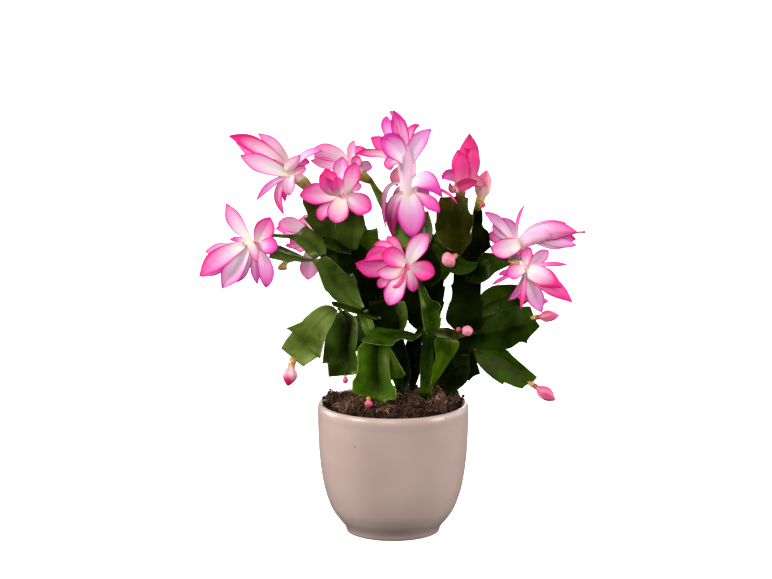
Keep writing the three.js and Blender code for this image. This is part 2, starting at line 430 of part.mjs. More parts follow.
// A closed skin over rings that all have the same number of points. The far half of
// each ring is split the other way, so both faces of a blade have the same folds.
function skin(rings) {
  const count = rings[0].length;
  const positions = [];
  const add = (...points) => points.forEach((p) => positions.push(p.x, p.y, p.z));
  for (let i = 0; i < rings.length - 1; i++) {
    for (let j = 0; j < count; j++) {
      const next = (j + 1) % count;
      const [a, b] = [rings[i][j], rings[i][next]];
      const [d, c] = [rings[i + 1][j], rings[i + 1][next]];
      if (j < count / 2) add(a, b, c, a, c, d);
      else add(a, b, d, b, c, d);
    }
  }
  const last = rings[rings.length - 1];
  for (let k = 2; k < count; k++) {
    add(rings[0][1], rings[0][(k + 1) % count], rings[0][k]);
    add(last[1], last[k], last[(k + 1) % count]);
  }
  const geometry = new THREE.BufferGeometry();
  geometry.setAttribute("position", new THREE.Float32BufferAttribute(positions, 3));
  return geometry;
}

// One ring of a blade: two rims, and between them a middle unless it is a narrow one,
// each with a front and a back. A turn brings the right edge of an upright blade nearer.
function bladeRing(frame, turn, half, bend, middle, rim, ahead = 0) {
  const side = frame.side.clone().applyAxisAngle(frame.forward, -turn);
  const face = frame.face.clone().applyAxisAngle(frame.forward, -turn);
  const at = (across, lift, forward) =>
    frame.point.clone().addScaledVector(side, across).addScaledVector(face, lift)
      .addScaledVector(frame.forward, forward);
  const lift = half * bend;
  const fronts = [at(-half, lift + rim, ahead), at(half, lift + rim, ahead)];
  const backs = [at(half, lift - rim, ahead), at(-half, lift - rim, ahead)];
  if (middle === null) return [...fronts, ...backs];
  return [fronts[0], at(0, middle, 0), fronts[1], backs[0], at(0, -middle, 0), backs[1]];
}

// Outline of a segment: a narrow neck, the widest part past the middle, and a blunt end.
function segmentOutline(t) {
  const neck = 0.2 + 0.8 * Math.sin(Math.min(t / 0.5, 1) * Math.PI / 2);
  const shoulder = t < 0.6 ? 1 : 1 - 0.38 * ((t - 0.6) / 0.4) ** 2;
  return neck * shoulder;
}

const TOOTH_AT = [0.4, 0.74];
const NOTCH = 0.035;

function segment([from, through, to, width, turn, fold, tooth]) {
  const toothed = TOOTH_AT.flatMap((t) => [t, t + NOTCH]);
  const stations = [0, ...(tooth > 0 ? toothed : [0.35, 0.7]), 1];
  const frames = framesAlong(pathThrough(from, through, to), stations);
  const angle = THREE.MathUtils.degToRad(turn);
  const rings = frames.map((frame, i) => {
    const half = width / 2 * segmentOutline(stations[i]);
    const out = TOOTH_AT.includes(stations[i]) ? tooth : 0;
    const ahead = stations[i] === 1 ? tooth * 0.8 : out * 0.4;
    return bladeRing(frame, angle, half + out, fold, width < 15 ? null : RIB, RIM, ahead);
  });
  return skin(rings);
}

// Outline of a petal: it widens to WIDEST and closes in a round or sharp end.
function petalOutline(t, point) {
  const spread = 0.28 + 0.72 * Math.sin(Math.min(t / WIDEST, 1) * Math.PI / 2);
  const beyond = Math.max(0, (t - WIDEST) / (1 - WIDEST));
  const end = (1 - beyond * beyond) ** (0.5 + 0.6 * point);
  return spread * Math.max(end, 0.34 * (1 - point));
}

function petal([from, through, to, width, turn, cup, point]) {
  const stations = width < NARROW ? NARROW_STATIONS : PETAL_STATIONS;
  const frames = framesAlong(pathThrough(from, through, to), stations);
  const angle = THREE.MathUtils.degToRad(turn);
  const middle = width < NARROW ? null : PETAL_MID;
  const rings = frames.map((frame, i) => {
    const half = Math.max(width / 2 * petalOutline(stations[i], point), 0.4);
    return bladeRing(frame, angle, half, cup, middle, PETAL_RIM);
  });
  return skin(rings);
}

// A closed tube whose thickness changes along its length: knots are [point, radius].
function tube(knots, sides) {
  const curve = new THREE.CatmullRomCurve3(knots.map(([point]) => point));
  const frames = framesAlong(curve, knots.map((knot, i) => i / (knots.length - 1)));
  const rings = frames.map((frame, i) => {
    const ring = [];
    for (let k = 0; k < sides; k++) {
      const angle = -2 * Math.PI * k / sides;
      ring.push(frame.point.clone()
        .addScaledVector(frame.side, knots[i][1] * Math.cos(angle))
        .addScaledVector(frame.face, knots[i][1] * Math.sin(angle)));
    }
    return ring;
  });
  return skin(rings);
}

function stalk([from, to, radius]) {
  const [start, end] = [place(from), place(to)];
  return tube([[start, radius * 0.62], [end, radius]], 6);
}

// Two knots that start a piece squarely on the end of its stalk, clear of it.
function seatKnots([from, to, radius], step) {
  const end = place(to);
  const out = end.clone().sub(place(from)).normalize();
  return [
    [end.clone().addScaledVector(out, CLEAR), radius],
    [end.clone().addScaledVector(out, CLEAR + step), radius],
  ];
}

function bloomPieces({ stalk: seat, throat, petals, pistil }) {
  const knots = [...seatKnots(seat, 1.2), ...throat.map(([point, radius]) => [place(point), radius])];
  const pieces = [tube(knots, 6), ...petals.map(petal)];
  if (pistil) pieces.push(tube(pistil.map(([point, radius]) => [place(point), radius]), 4));
  return pieces;
}

function bud([, from, to, radius, end, width, fullest]) {
  const knots = seatKnots([from, to, radius], 0.6);
  const start = knots[1][0].clone();
  const tip = place(end);
  for (const t of [fullest, (1 + fullest) / 2, 1]) {
    const reach = t < fullest ? t / fullest : (1 - t) / (1 - fullest);
    const half = width / 2 * Math.max(Math.sin(reach * Math.PI / 2) ** 0.8, 0.14);
    knots.push([start.clone().lerp(tip, t), half]);
  }
  return tube(knots, 6);
}

// ---------------------------------------------------------------- joining
function toSolid(geometry) {
  const bare = geometry.index ? geometry.toNonIndexed() : geometry;
  bare.deleteAttribute("normal");
  bare.deleteAttribute("uv");
  const merged = mergeVertices(bare, 1e-4);
  return new wasm.Manifold(new wasm.Mesh({
    numProp: 3,
    vertProperties: new Float32Array(merged.attributes.position.array),
    triVerts: new Uint32Array(merged.index.array),
  }));
}

function toGeometry(solid) {
  const mesh = solid.getMesh();
  const geometry = new THREE.BufferGeometry();
  geometry.setAttribute("position", new THREE.BufferAttribute(mesh.vertProperties, 3));
  geometry.setIndex(new THREE.BufferAttribute(mesh.triVerts, 1));
  geometry.computeVertexNormals();
  return geometry;
}

function fuse(geometries) {
  return geometries.map(toSolid).reduce((whole, piece) => whole.add(piece));
}

function named(name, solid, material) {
  const mesh = new THREE.Mesh(toGeometry(solid), material);
  mesh.name = name;
  return mesh;
}

function upright(profile, sides) {
  const geometry = new THREE.LatheGeometry(profile.map(([r, z]) => new THREE.Vector2(r, z)), sides);
  return geometry.rotateX(Math.PI / 2);
}

// ---------------------------------------------------------------- pot and soil
function innerRadius(height) {
  const inside = POT_SIDE.filter(([, z]) => z > POT_FLOOR + 3);
  const above = inside.findIndex(([, z]) => z >= height);
  if (above < 1) return (above === 0 ? inside[0][0] : POT_LIP + 1.9) - POT_WALL;
  const [[r0, z0], [r1, z1]] = [inside[above - 1], inside[above]];
  return r0 + (r1 - r0) * (height - z0) / (z1 - z0) - POT_WALL;
}

const INNER_HEIGHTS = [80, 40, 20, 12];

function makePot() {
  const profile = [[0, 0], ...POT_SIDE];
  for (const degrees of [-20, 30, 90, 150]) {
    const angle = THREE.MathUtils.degToRad(degrees);
    profile.push([POT_LIP + LIP_ROUND * Math.cos(angle), LIP_HEIGHT + LIP_ROUND * Math.sin(angle)]);
  }
  INNER_HEIGHTS.forEach((z) => profile.push([innerRadius(z), z]));
  profile.push([innerRadius(12) - 5, POT_FLOOR], [0, POT_FLOOR]);
  return upright(profile, POT_SIDES);
}

// Height of the soil at a place, with its low mound and its lumps.
function soilHeight(x, y) {
  const out = Math.min(Math.hypot(x, y) / 47, 1);
  const lumps = Math.sin(x * 0.31 + 1.3) * Math.cos(y * 0.27 + 0.4) + 0.6 * Math.sin(x * 0.17 - y * 0.41);
  return SOIL_EDGE + SOIL_MOUND * (1 - out ** 2.2) + 0.8 * lumps * (1 - out * 0.6);
}

// Clumps of fibre that stand up out of the soil: [across, depth, top, radius].
const clumps = [
  [33, -20, 102.5, 3.4], [10, -18, 98.5, 3.2], [-30, -22, 97.5, 3.4],
  [-12, -6, 98, 3], [30, 26, 99, 3.2], [-39, 10, 97.5, 3.2], [42.5, 4, 96, 3],
];

function makeSoil() {
  const profile = [[0, POT_FLOOR + CLEAR], [innerRadius(12) - 5 - CLEAR, POT_FLOOR + CLEAR]];
  [...INNER_HEIGHTS].reverse().forEach((z) => profile.push([innerRadius(z) - CLEAR, z]));
  const edge = innerRadius(80) - CLEAR;
  profile.push([edge, SOIL_EDGE]);
  for (let i = SOIL_RINGS - 1; i > 0; i--) profile.push([edge * i / SOIL_RINGS, SOIL_EDGE]);
  profile.push([0, SOIL_EDGE]);
  const geometry = upright(profile, POT_SIDES / 2);
  const position = geometry.attributes.position;
  for (let i = 0; i < position.count; i++) {
    const [x, y] = [position.getX(i), position.getY(i)];
    const onTop = Math.abs(position.getZ(i) - SOIL_EDGE) < 0.01;
    if (onTop && Math.hypot(x, y) < edge - 1) position.setZ(i, soilHeight(x, y));
  }
  const cones = clumps.map(([x, y, top, radius]) => {
    const tall = top - CLUMP_FOOT;
    const cone = new THREE.CylinderGeometry(0.6, radius, tall, 6).rotateX(Math.PI / 2);
    return cone.translate(x, y, CLUMP_FOOT + tall / 2);
  });
  return [geometry, ...cones];
}

// The part of a stem that stands in the soil, or with a margin the hole for it.
function root([x, y, halfWidth, halfDepth], margin) {
  const bottom = SOIL_EDGE + 2 - ROOT_DEPTH - margin;
  const top = margin > 0 ? ROOT_TOP + 12 : ROOT_TOP;
  const post = new THREE.CylinderGeometry(1, 1, top - bottom, 8).rotateX(Math.PI / 2);
  return post.scale(halfWidth + margin, halfDepth + margin, 1).translate(x, y, (top + bottom) / 2);
}

// ---------------------------------------------------------------- the plant
const group = new THREE.Group();
group.name = "potted_christmas_cactus";

let soil = fuse(makeSoil());
for (const { root: footing } of Object.values(stems)) soil = soil.subtract(toSolid(root(footing, CLEAR)));

group.add(named("pot", toSolid(makePot()), ceramic));
group.add(named("soil", soil, soilBrown));

for (const [name, { root: footing, segments }] of Object.entries(stems)) {
  const flowers = Object.values(blooms).filter((bloom) => bloom.stem === name);
  const budRows = Object.values(buds).filter(([stem]) => stem === name);
  const stalks = [...flowers.map((bloom) => bloom.stalk), ...budRows.map((row) => row.slice(1, 4))];
  const pieces = [root(footing, 0), ...segments.map(segment), ...stalks.map(stalk)];
  group.add(named(name, fuse(pieces), leafGreen));
}

for (const [name, bloom] of Object.entries(blooms)) {
  const colour = name === "bloom_upper_right" ? petalRose : petalPink;
  group.add(named(name, fuse(bloomPieces(bloom)), colour));
}

for (const [name, row] of Object.entries(buds)) group.add(named(name, toSolid(bud(row)), budSalmon));

export default group;
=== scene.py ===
"""A potted Christmas cactus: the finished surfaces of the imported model.

Lengths in the tables are millimetres and are turned into metres when a mesh is made.
Places on the plant are (across, depth, height). Height is counted on sheets that lean
back by LEAN, so that a leaf or petal can be set deeper without moving its outline as
somebody sees it who looks slightly down on the pot.
"""
import math
import random
from collections import namedtuple

import bpy
import numpy as np
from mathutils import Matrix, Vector, noise


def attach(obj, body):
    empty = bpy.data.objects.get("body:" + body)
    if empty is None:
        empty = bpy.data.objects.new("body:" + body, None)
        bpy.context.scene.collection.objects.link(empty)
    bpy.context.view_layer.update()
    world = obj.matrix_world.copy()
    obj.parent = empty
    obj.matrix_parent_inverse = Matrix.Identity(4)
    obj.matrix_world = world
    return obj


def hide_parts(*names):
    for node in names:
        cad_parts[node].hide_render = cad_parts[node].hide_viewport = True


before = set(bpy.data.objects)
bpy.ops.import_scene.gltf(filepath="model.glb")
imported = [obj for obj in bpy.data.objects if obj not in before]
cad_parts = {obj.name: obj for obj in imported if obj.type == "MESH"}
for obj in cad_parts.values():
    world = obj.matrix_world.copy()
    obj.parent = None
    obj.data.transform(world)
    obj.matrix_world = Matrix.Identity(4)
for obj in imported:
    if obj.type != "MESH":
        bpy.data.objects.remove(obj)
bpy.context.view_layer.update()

MM = 0.001
# how far back the sheets lean, and the gap between a stalk and its flower, in millimetres
LEAN = 0.2
CLEAR = 0.3
FRONT = np.array([0.0, -1.0, LEAN]) / math.hypot(1, LEAN)
FULL_TURN = 2 * math.pi


# ---------------------------------------------------------------- camera and light
VIEWER = (-0.0049, -3.0, 0.805)
LOOKED_AT = (-0.0049, 0, 0.1713)
LENS, SENSOR = 207.05, 36
LIT_MIDDLE = (0, 0, 0.16)
# place, size and power of each light
LIGHTS = {
    "left": ((-1.7, -1.1, 0.95), 1.0, 40),
    "front": ((-0.3, -2.4, 1.1), 1.0, 24),
    "overhead": ((-0.2, 0.1, 1.9), 1.0, 9),
    "right": ((1.8, -0.5, 0.6), 0.9, 28),
    "back": ((0.5, 1.8, 1.0), 1.2, 25),
    "left_edge": ((-1.8, 0.7, 0.5), 1.0, 19),
    "right_edge": ((1.8, 0.8, 0.5), 1.0, 10),
}
GLOW_BELOW, GLOW_ABOVE = 0.02, 0.10


def aimed(name, data, place, target):
    """An object for a camera or a light, turned to its target."""
    thing = bpy.data.objects.new(name, data)
    thing.location = place
    thing.rotation_euler = (Vector(target) - thing.location).to_track_quat("-Z", "Y").to_euler()
    bpy.context.scene.collection.objects.link(thing)
    return thing


def make_camera():
    data = bpy.data.cameras.new("camera")
    data.sensor_width = SENSOR
    data.lens = LENS
    data.clip_start = 0.1
    data.clip_end = 100
    bpy.context.scene.camera = aimed("camera", data, VIEWER, LOOKED_AT)


def area_light(name, place, size, energy):
    data = bpy.data.lights.new(name, "AREA")
    data.shape = "DISK"
    data.size = size
    data.energy = energy
    aimed(name, data, place, LIT_MIDDLE).visible_camera = False


def make_world():
    """A dim studio, a little lighter above than below."""
    world = bpy.data.worlds.new("studio")
    bpy.context.scene.world = world
    world.use_nodes = True
    nodes, links = world.node_tree.nodes, world.node_tree.links
    background = nodes["Background"]
    direction = nodes.new("ShaderNodeTexCoord")
    split = nodes.new("ShaderNodeSeparateXYZ")
    ramp = nodes.new("ShaderNodeValToRGB")
    height = nodes.new("ShaderNodeMapRange")
    height.inputs["From Min"].default_value = -1
    height.inputs["From Max"].default_value = 1
    links.new(direction.outputs["Generated"], split.inputs[0])
    links.new(split.outputs["Z"], height.inputs["Value"])
    links.new(height.outputs[0], ramp.inputs["Fac"])
    links.new(ramp.outputs["Color"], background.inputs["Color"])
    for stop, position, glow in zip(ramp.color_ramp.elements, (0.30, 0.75), (GLOW_BELOW, GLOW_ABOVE)):
        stop.position, stop.color = position, (glow, glow, glow, 1)
    background.inputs["Strength"].default_value = 1.0


def make_stage():
    """A floor and a surround of the same plain white, which the lights pass through."""
    white = bpy.data.materials.new("studio_white")
    white.use_nodes = True
    shader = white.node_tree.nodes["Principled BSDF"]
    shader.inputs["Base Color"].default_value = (0.9, 0.9, 0.9, 1)
    shader.inputs["Roughness"].default_value = 0.9
    shader.inputs["Emission Color"].default_value = (1, 1, 1, 1)
    shader.inputs["Emission Strength"].default_value = 1.0
    bpy.ops.mesh.primitive_circle_add(vertices=96, radius=12, fill_type="NGON", location=(0, 0, -0.0002))
    floor = bpy.context.object
    floor.name = "floor"
    bpy.ops.mesh.primitive_uv_sphere_add(segments=64, ring_count=32, radius=13)
    surround = bpy.context.object
    surround.name = "surround"
    for piece in (floor, surround):
        piece.data.materials.append(white)
        for ray in ("diffuse", "glossy", "transmission", "shadow"):
            setattr(piece, "visible_" + ray, False)


make_camera()
bpy.context.scene.view_settings.view_transform = "Standard"
make_world()
for light_name, light in LIGHTS.items():
    area_light(light_name, *light)
make_stage()


# ---------------------------------------------------------------- materials
def linear(hexed):
    """An sRGB colour written as six hex digits, as the linear numbers that nodes use."""
    values = [int(hexed[i:i + 2], 16) / 255 for i in (0, 2, 4)]
    return (*[v / 12.92 if v < 0.04045 else ((v + 0.055) / 1.055) ** 2.4 for v in values], 1.0)


class Nodes:
    """Short calls to build a material out of nodes."""

    def __init__(self, name, roughness, specular=0.5):
        self.material = bpy.data.materials.new(name)
        self.material.use_nodes = True
        self.tree = self.material.node_tree
        self.shader = self.tree.nodes["Principled BSDF"]
        self.surface({"Roughness": roughness, "Specular IOR Level": specular})

    def feed(self, value, socket):
        """Gives a socket a colour, a number or another node's output."""
        if isinstance(value, str):
            socket.default_value = linear(value)
        elif isinstance(value, (int, float, tuple)):
            socket.default_value = value
        else:
            self.tree.links.new(value, socket)

    def surface(self, inputs):
        for name, value in inputs.items():
            self.feed(value, self.shader.inputs[name])

    def add(self, kind, inputs, **settings):
        node = self.tree.nodes.new("ShaderNode" + kind)
        for key, value in settings.items():
            setattr(node, key, value)
        for socket, value in inputs.items():
            self.feed(value, node.inputs[socket])
        return node

    def mark(self, name):
        return self.add("Attribute", {}, attribute_name=name).outputs["Fac"]

    def noise(self, scale, detail, vector=None):
        vector = vector or self.add("TexCoord", {}).outputs["Object"]
        inputs = {"Scale": scale, "Detail": detail, "Roughness": 0.5, "Vector": vector}
        return self.add("TexNoise", inputs).outputs["Fac"]

    def combine(self, x, y, z):
        return self.add("CombineXYZ", {0: x, 1: y, 2: z}).outputs[0]

    def math(self, operation, first, second=0.0):
        return self.add("Math", {0: first, 1: second}, operation=operation).outputs[0]

    def plus(self, first, second):
        return self.math("ADD", first, second)

    def times(self, first, second):
        return self.math("MULTIPLY", first, second)

    def swayed(self, value, clouds, amount):
        """The value moved up and down by clouds."""
        return self.plus(value, self.times(self.math("SUBTRACT", clouds, 0.5), amount))

    def span(self, value, low, high, to_low=0.0, to_high=1.0):
        """Carries low..high over to to_low..to_high, with soft ends."""
        inputs = {"Value": value, "From Min": low, "From Max": high, "To Min": to_low, "To Max": to_high}
        return self.add("MapRange", inputs, interpolation_type="SMOOTHSTEP").outputs["Result"]

    def ramp(self, value, stops):
        node = self.add("ValToRGB", {"Fac": value})
        elements = node.color_ramp.elements
        while len(elements) < len(stops):
            elements.new(0.5)
        for element, (position, colour) in zip(elements, stops):
            element.position = position
            element.color = linear(colour)
        return node.outputs["Color"]

    def mix(self, amount, first, second, blend="MIX"):
        settings = {"data_type": "RGBA", "blend_type": blend}
        return self.add("Mix", {0: amount, 6: first, 7: second}, **settings).outputs[2]

    def bump(self, height, strength, distance):
        node = self.add("Bump", {"Strength": strength, "Distance": distance, "Height": height})
        self.surface({"Normal": node.outputs["Normal"]})


def petal_material(name, base, body, tip, edge, spread):
    """Pale at its base, darker to the tip, with a thin dark line along the edge."""
    n = Nodes("petal_" + name, 0.5, 0.15)
    along, across = n.mark("along"), n.mark("across")
    edgeward = n.math("ABSOLUTE", across)
    streaks = n.noise(1.0, 5.0, n.combine(n.times(across, 9.0), n.times(along, 1.6), n.mark("seed")))
    cloud = n.noise(90.0, 3.0)
    drift = n.times(n.math("POWER", along, 1.25), spread)
    drift = n.swayed(n.swayed(drift, streaks, 0.22), cloud, 0.14)
    rimward = n.times(n.math("POWER", edgeward, 3.5), n.span(along, 0.0, 0.6, 0.15, 0.5))
    ground = n.ramp(n.plus(drift, rimward), [(0.06, base), (0.33, body), (0.72, tip)])
    line = n.times(n.span(edgeward, 0.84, 0.98), n.span(along, 0.0, 0.3, 0.4, 1.0))
    end = n.span(along, 0.86, 1.0, 0.0, 0.9)
    ground = n.mix(n.math("MAXIMUM", line, end), ground, edge)
    n.surface({
        "Base Color": n.mix(n.span(along, 0.0, 0.16, 0.55, 0.0), ground, THROAT_YELLOW),
        "Roughness": n.span(cloud, 0.3, 0.7, 0.42, 0.6),
        "Subsurface Weight": 0.25,
        "Subsurface Radius": (1.0, 0.75, 0.9),
        "Subsurface Scale": 0.0004,
    })
    n.bump(n.plus(streaks, n.times(cloud, 0.4)), 0.35, 0.0004)
    return n.material


def leaf_material(name, deep, light, edge, sheen, channel, reach):
    """Waxy skin, mottled, with faint veins, a thin pale edge, and painted shade along the midrib that fades
    toward the tip.
    """
    n = Nodes("leaf_" + name, LEAF_GLOSS)
    along, across = n.mark("along"), n.mark("across")
    edgeward = n.math("ABSOLUTE", across)
    mottle = n.noise(55.0, 5.0)
    fine = n.noise(420.0, 4.0)
    ground = n.mix(n.span(mottle, 0.32, 0.70), deep, light)
    ground = n.mix(n.span(fine, 0.55, 0.8, 0.0, 0.25), ground, light)
    vein_at = n.math("SUBTRACT", n.times(along, 3.6), n.times(edgeward, 1.1))
    wave = n.math("SINE", n.times(vein_at, FULL_TURN))
    veins = n.times(n.span(wave, 0.86, 1.0), n.span(edgeward, 0.06, 0.3))
    ground = n.mix(n.times(veins, 0.07), ground, light)
    ground = n.mix(n.span(edgeward, 0.0, 0.04, 0.16, 0.0), ground, light)
    # painted shade: darker along the midrib, where the folded blade lies in its own shadow, and lighter
    # toward the tip that curls out into the light; the specular level drops with it
    shade = n.times(n.span(edgeward, 0.02, reach, channel, 0.0), n.span(along, 0.55, 1.0, 1.0, 0.25))
    ground = n.mix(shade, ground, deep, "MULTIPLY")
    line = n.times(n.span(edgeward, 0.96, 1.0), n.span(mottle, 0.3, 0.6, 0.2, 0.8))
    ground = n.mix(line, ground, edge)
    dust = n.span(n.noise(900.0, 2.0), 0.73, 0.80, 0.0, 0.35)
    n.surface({
        "Base Color": n.mix(dust, ground, LEAF_DUST),
        "Roughness": n.span(mottle, 0.3, 0.7, LEAF_GLOSS - 0.06, LEAF_GLOSS + 0.1),
        "Specular IOR Level": n.span(shade, 0.0, 1.0, sheen, sheen * 0.15),
        "Specular Tint": LEAF_SHEEN,
    })
    height = n.plus(n.times(mottle, 0.8), n.times(fine, 0.35))
    n.bump(n.plus(height, n.times(veins, -0.12)), 0.35, 0.0006)
    return n.material


def simple_material(name, low, high, roughness, scale, grain, depth, specular):
    """Two colours in soft patches, and a fine grain of its own."""
    n = Nodes(name, roughness, specular)
    fine = n.noise(grain, 3.0)
    amount = n.plus(n.times(n.noise(scale, 4.0), 0.7), n.times(fine, 0.3))
    n.surface({
        "Base Color": n.mix(n.span(amount, 0.34, 0.66), low, high),
        "Roughness": n.span(fine, 0.3, 0.7, roughness - 0.05, roughness + 0.08),
    })
    n.bump(fine, 0.4, depth)
    return n.material


def ovary_material(name, foot, low, high, top):
    n = Nodes(name, 0.3)
    patches = n.noise(160.0, 3.0)
    drift = n.swayed(n.mark("along"), patches, 0.3)
    colour = n.ramp(drift, [(0.05, foot), (0.22, low), (0.7, high), (1.0, top)])
    n.surface({"Base Color": colour, "Coat Weight": 0.3, "Coat Roughness": 0.2})
    n.bump(patches, 0.3, 0.0004)
    return n.material


def bud_material(name, base, body, tip):
    n = Nodes("bud_" + name, 0.42, 0.45)
    cloud = n.noise(140.0, 3.0)
    drift = n.swayed(n.mark("along"), cloud, 0.22)
    ground = n.ramp(drift, [(0.06, base), (0.22, body), (0.4, body), (0.74, tip)])
    n.surface({
        "Base Color": n.mix(n.span(n.mark("across"), 0.0, 1.0, 0.45, 0.0), ground, tip, "MULTIPLY"),
        "Subsurface Weight": 0.3,
        "Subsurface Radius": (1.0, 0.45, 0.4),
        "Subsurface Scale": 0.002,
    })
    n.bump(cloud, 0.3, 0.0003)
    return n.material


def glaze_material():
    """Satin stoneware glaze: a warm beige, faintly clouded, with painted shade darkening it toward the foot.
    """
    n = Nodes("pot_glaze", 0.34, 0.45)
    cloud = n.noise(11.0, 4.0)
    ground = n.mix(n.span(cloud, 0.35, 0.65), GLAZE_DEEP, GLAZE_LIGHT)
    n.surface({
        # painted shade: darker over the lowest tenth of the pot, where it turns under toward the foot
        "Base Color": n.mix(n.span(n.mark("along"), 0.0, 0.10, 0.45, 0.0), ground, GLAZE_FOOT_SHADE, "MULTIPLY"),
        "Roughness": n.span(cloud, 0.3, 0.7, 0.31, 0.4),
        "Coat Weight": 0.25,
        "Coat Roughness": 0.3,
    })
    n.bump(n.plus(n.times(n.noise(700.0, 3.0), 0.3), cloud), 0.12, 0.0005)
    return n.material


GLAZE_DEEP, GLAZE_LIGHT, GLAZE_FOOT_SHADE = "bda399", "c6aea4", "8f7264"
THROAT_YELLOW = "efe2b0"
LEAF_GLOSS = 0.29
LEAF_SHEEN = "dce08e"
LEAF_DUST = "b9c3a2"
# base, body, tip and edge of each kind of petal, and how soon the tip's colour comes
PETALS = {
    "pink": ("f6e4dc", "f6a4cf", "f146a4", "da0e7f", 0.78),
    "hot": ("fbd0d8", "fa78b8", "f8369a", "de0a7b", 0.84),
    "pale": ("f7ece4", "f8d0e5", "f574c0", "dc128b", 0.74),
    "cream": ("f2dec8", "f2c2d1", "f06db5", "dc0c81", 0.74),
    "lilac": ("f2e5ea", "eabedc", "e372c4", "d421a0", 0.74),
    "mauve": ("f0d2e2", "e99ccf", "e052b0", "ca1592", 0.74),
    "magenta": ("f6d0de", "ea70bd", "e0249d", "c50787", 0.74),
    "hot_tip": ("fae8e2", "fbcae0", "f42a8d", "de0e7b", 0.92),
    "wine": ("f4d4e0", "dc8cb4", "921a58", "7c1046", 1.0),
    "rose": ("ea7aa6", "e6448b", "de207b", "bc065d", 0.74),
    # crimson: the petal's own deep pink, with a darker base as painted shade where it meets the shaded ovary
    "crimson": ("ac3a5e", "bc2c60", "c42066", "b20e54", 0.74),
    "orchid": ("fdecf2", "fac0e4", "e842b2", "ca1595", 0.92),
    "fuchsia": ("eec6d8", "ea78b8", "f0369a", "d60e79", 0.78),
    "blush": ("fbf2f4", "f6d8ea", "ec7ac8", "d421a0", 0.74),
    "dusky": ("e8b4ac", "d88a99", "c85e85", "b63675", 0.74),
    "salmon": ("ffe8e6", "ffc2df", "ff8ccb", "ec4cab", 0.74),
    "tube": ("f9e0d8", "fad8e6", "f8b8dc", "ee96cc", 0.74),
}
# deep and light green, edge, sheen, and how dark and how wide the painted shade at the midrib is
LEAVES = {
    # dark: the leaves' own darkest green, and painted shade for the leaves deep inside the plant
    "dark": ("050b01", "121e02", "3a4a16", 0.06, 0.25, 0.5),
    "deep": ("0d1a01", "243d03", "5a6c26", 0.09, 0.25, 0.5),
    "matt": ("122302", "314f04", "7c8c38", 0.08, 0.25, 0.5),
    "mid": ("122302", "335204", "7c8c38", 0.32, 0.3, 0.5),
    "bright": ("1e3202", "496c06", "8aa03e", 0.3, 0.3, 0.5),
    "channel": ("1e3402", "426606", "8aa03e", 0.28, 0.95, 0.85),
    # grey: a lighter, greyer green, partly the leaves' own tone and partly painted sheen of leaves that face
    # the light
    "grey": ("29400b", "587028", "8a9c60", 0.5, 0.3, 0.5),
    "grey_channel": ("1e3206", "4c641a", "8a9c60", 0.5, 1.0, 1.25),
    # pale: a light green, partly the leaf's own tone and partly painted sheen
    "pale": ("405612", "738c32", "a0b070", 0.6, 0.2, 0.4),
    # faded: the pale green with painted shade across its whole width over the base and middle, so that only
    # its tip looks lit
    "faded": ("405612", "7a8f3e", "a0b070", 0.6, 0.45, 1.6),
    "moss": ("28360b", "4e6220", "8a9c60", 0.36, 0.3, 0.5),
    "olive": ("1c2002", "3f3a08", "74763a", 0.22, 0.3, 0.5),
}
# base, body and tip of each kind of bud
BUDS = {
    "salmon": ("ac5c38", "e985a4", "e8629a"),
    "pale": ("d0c250", "fbdccc", "f686a8"),
    "round": ("e08a94", "ec8ca2", "ee9cac"),
    "two_tone": ("d8a860", "f2cfd2", "e62a76"),
    "tiny": ("cc7868", "e07c90", "da5478"),
    "orange": ("a88430", "ccaa60", "d4886c"),
    "neck": ("8c5426", "c08c48", "d0a868"),
}
# name, dark and light, roughness, size of the patches and of the grain, its depth, specular level
SIMPLE = {
    "cork": ("joint_cork", "35290f", "6e5426", 0.8, 300.0, 1500.0, 0.0005, 0.5),
    "stigma": ("stigma", "d41f74", "f0569c", 0.5, 400.0, 1800.0, 0.0003, 0.5),
    "peat": ("peat", "080402", "2a1a13", 0.95, 160.0, 1400.0, 0.0012, 0.15),
    "crumb": ("crumb", "140b07", "472e20", 0.95, 240.0, 1600.0, 0.0012, 0.15),
    "fibre": ("coir_fibre", "2a170e", "7a5642", 0.9, 60.0, 1800.0, 0.0004, 0.2),
    "straw": ("pale_fibre", "6a4f3a", "b08e6a", 0.85, 60.0, 1800.0, 0.0004, 0.2),
}

materials = {}
for kind, colours in PETALS.items():
    materials[kind] = petal_material(kind, *colours)
for kind, colours in LEAVES.items():
    materials["leaf_" + kind] = leaf_material(kind, *colours)
for kind, colours in BUDS.items():
    materials["bud_" + kind] = bud_material(kind, *colours)
materials["ovary"] = ovary_material("ovary", "6b3420", "6f6a1c", "98962f", "b9ad55")
# ovary_shaded: the ovary's colours darkened, painted shade for an ovary that sits in the shadow of its petals
materials["ovary_shaded"] = ovary_material("ovary_shaded", "4a2614", "54401a", "684c20", "86502c")
for kind, row in SIMPLE.items():
    materials[kind] = simple_material(*row)
materials["glaze"] = glaze_material()


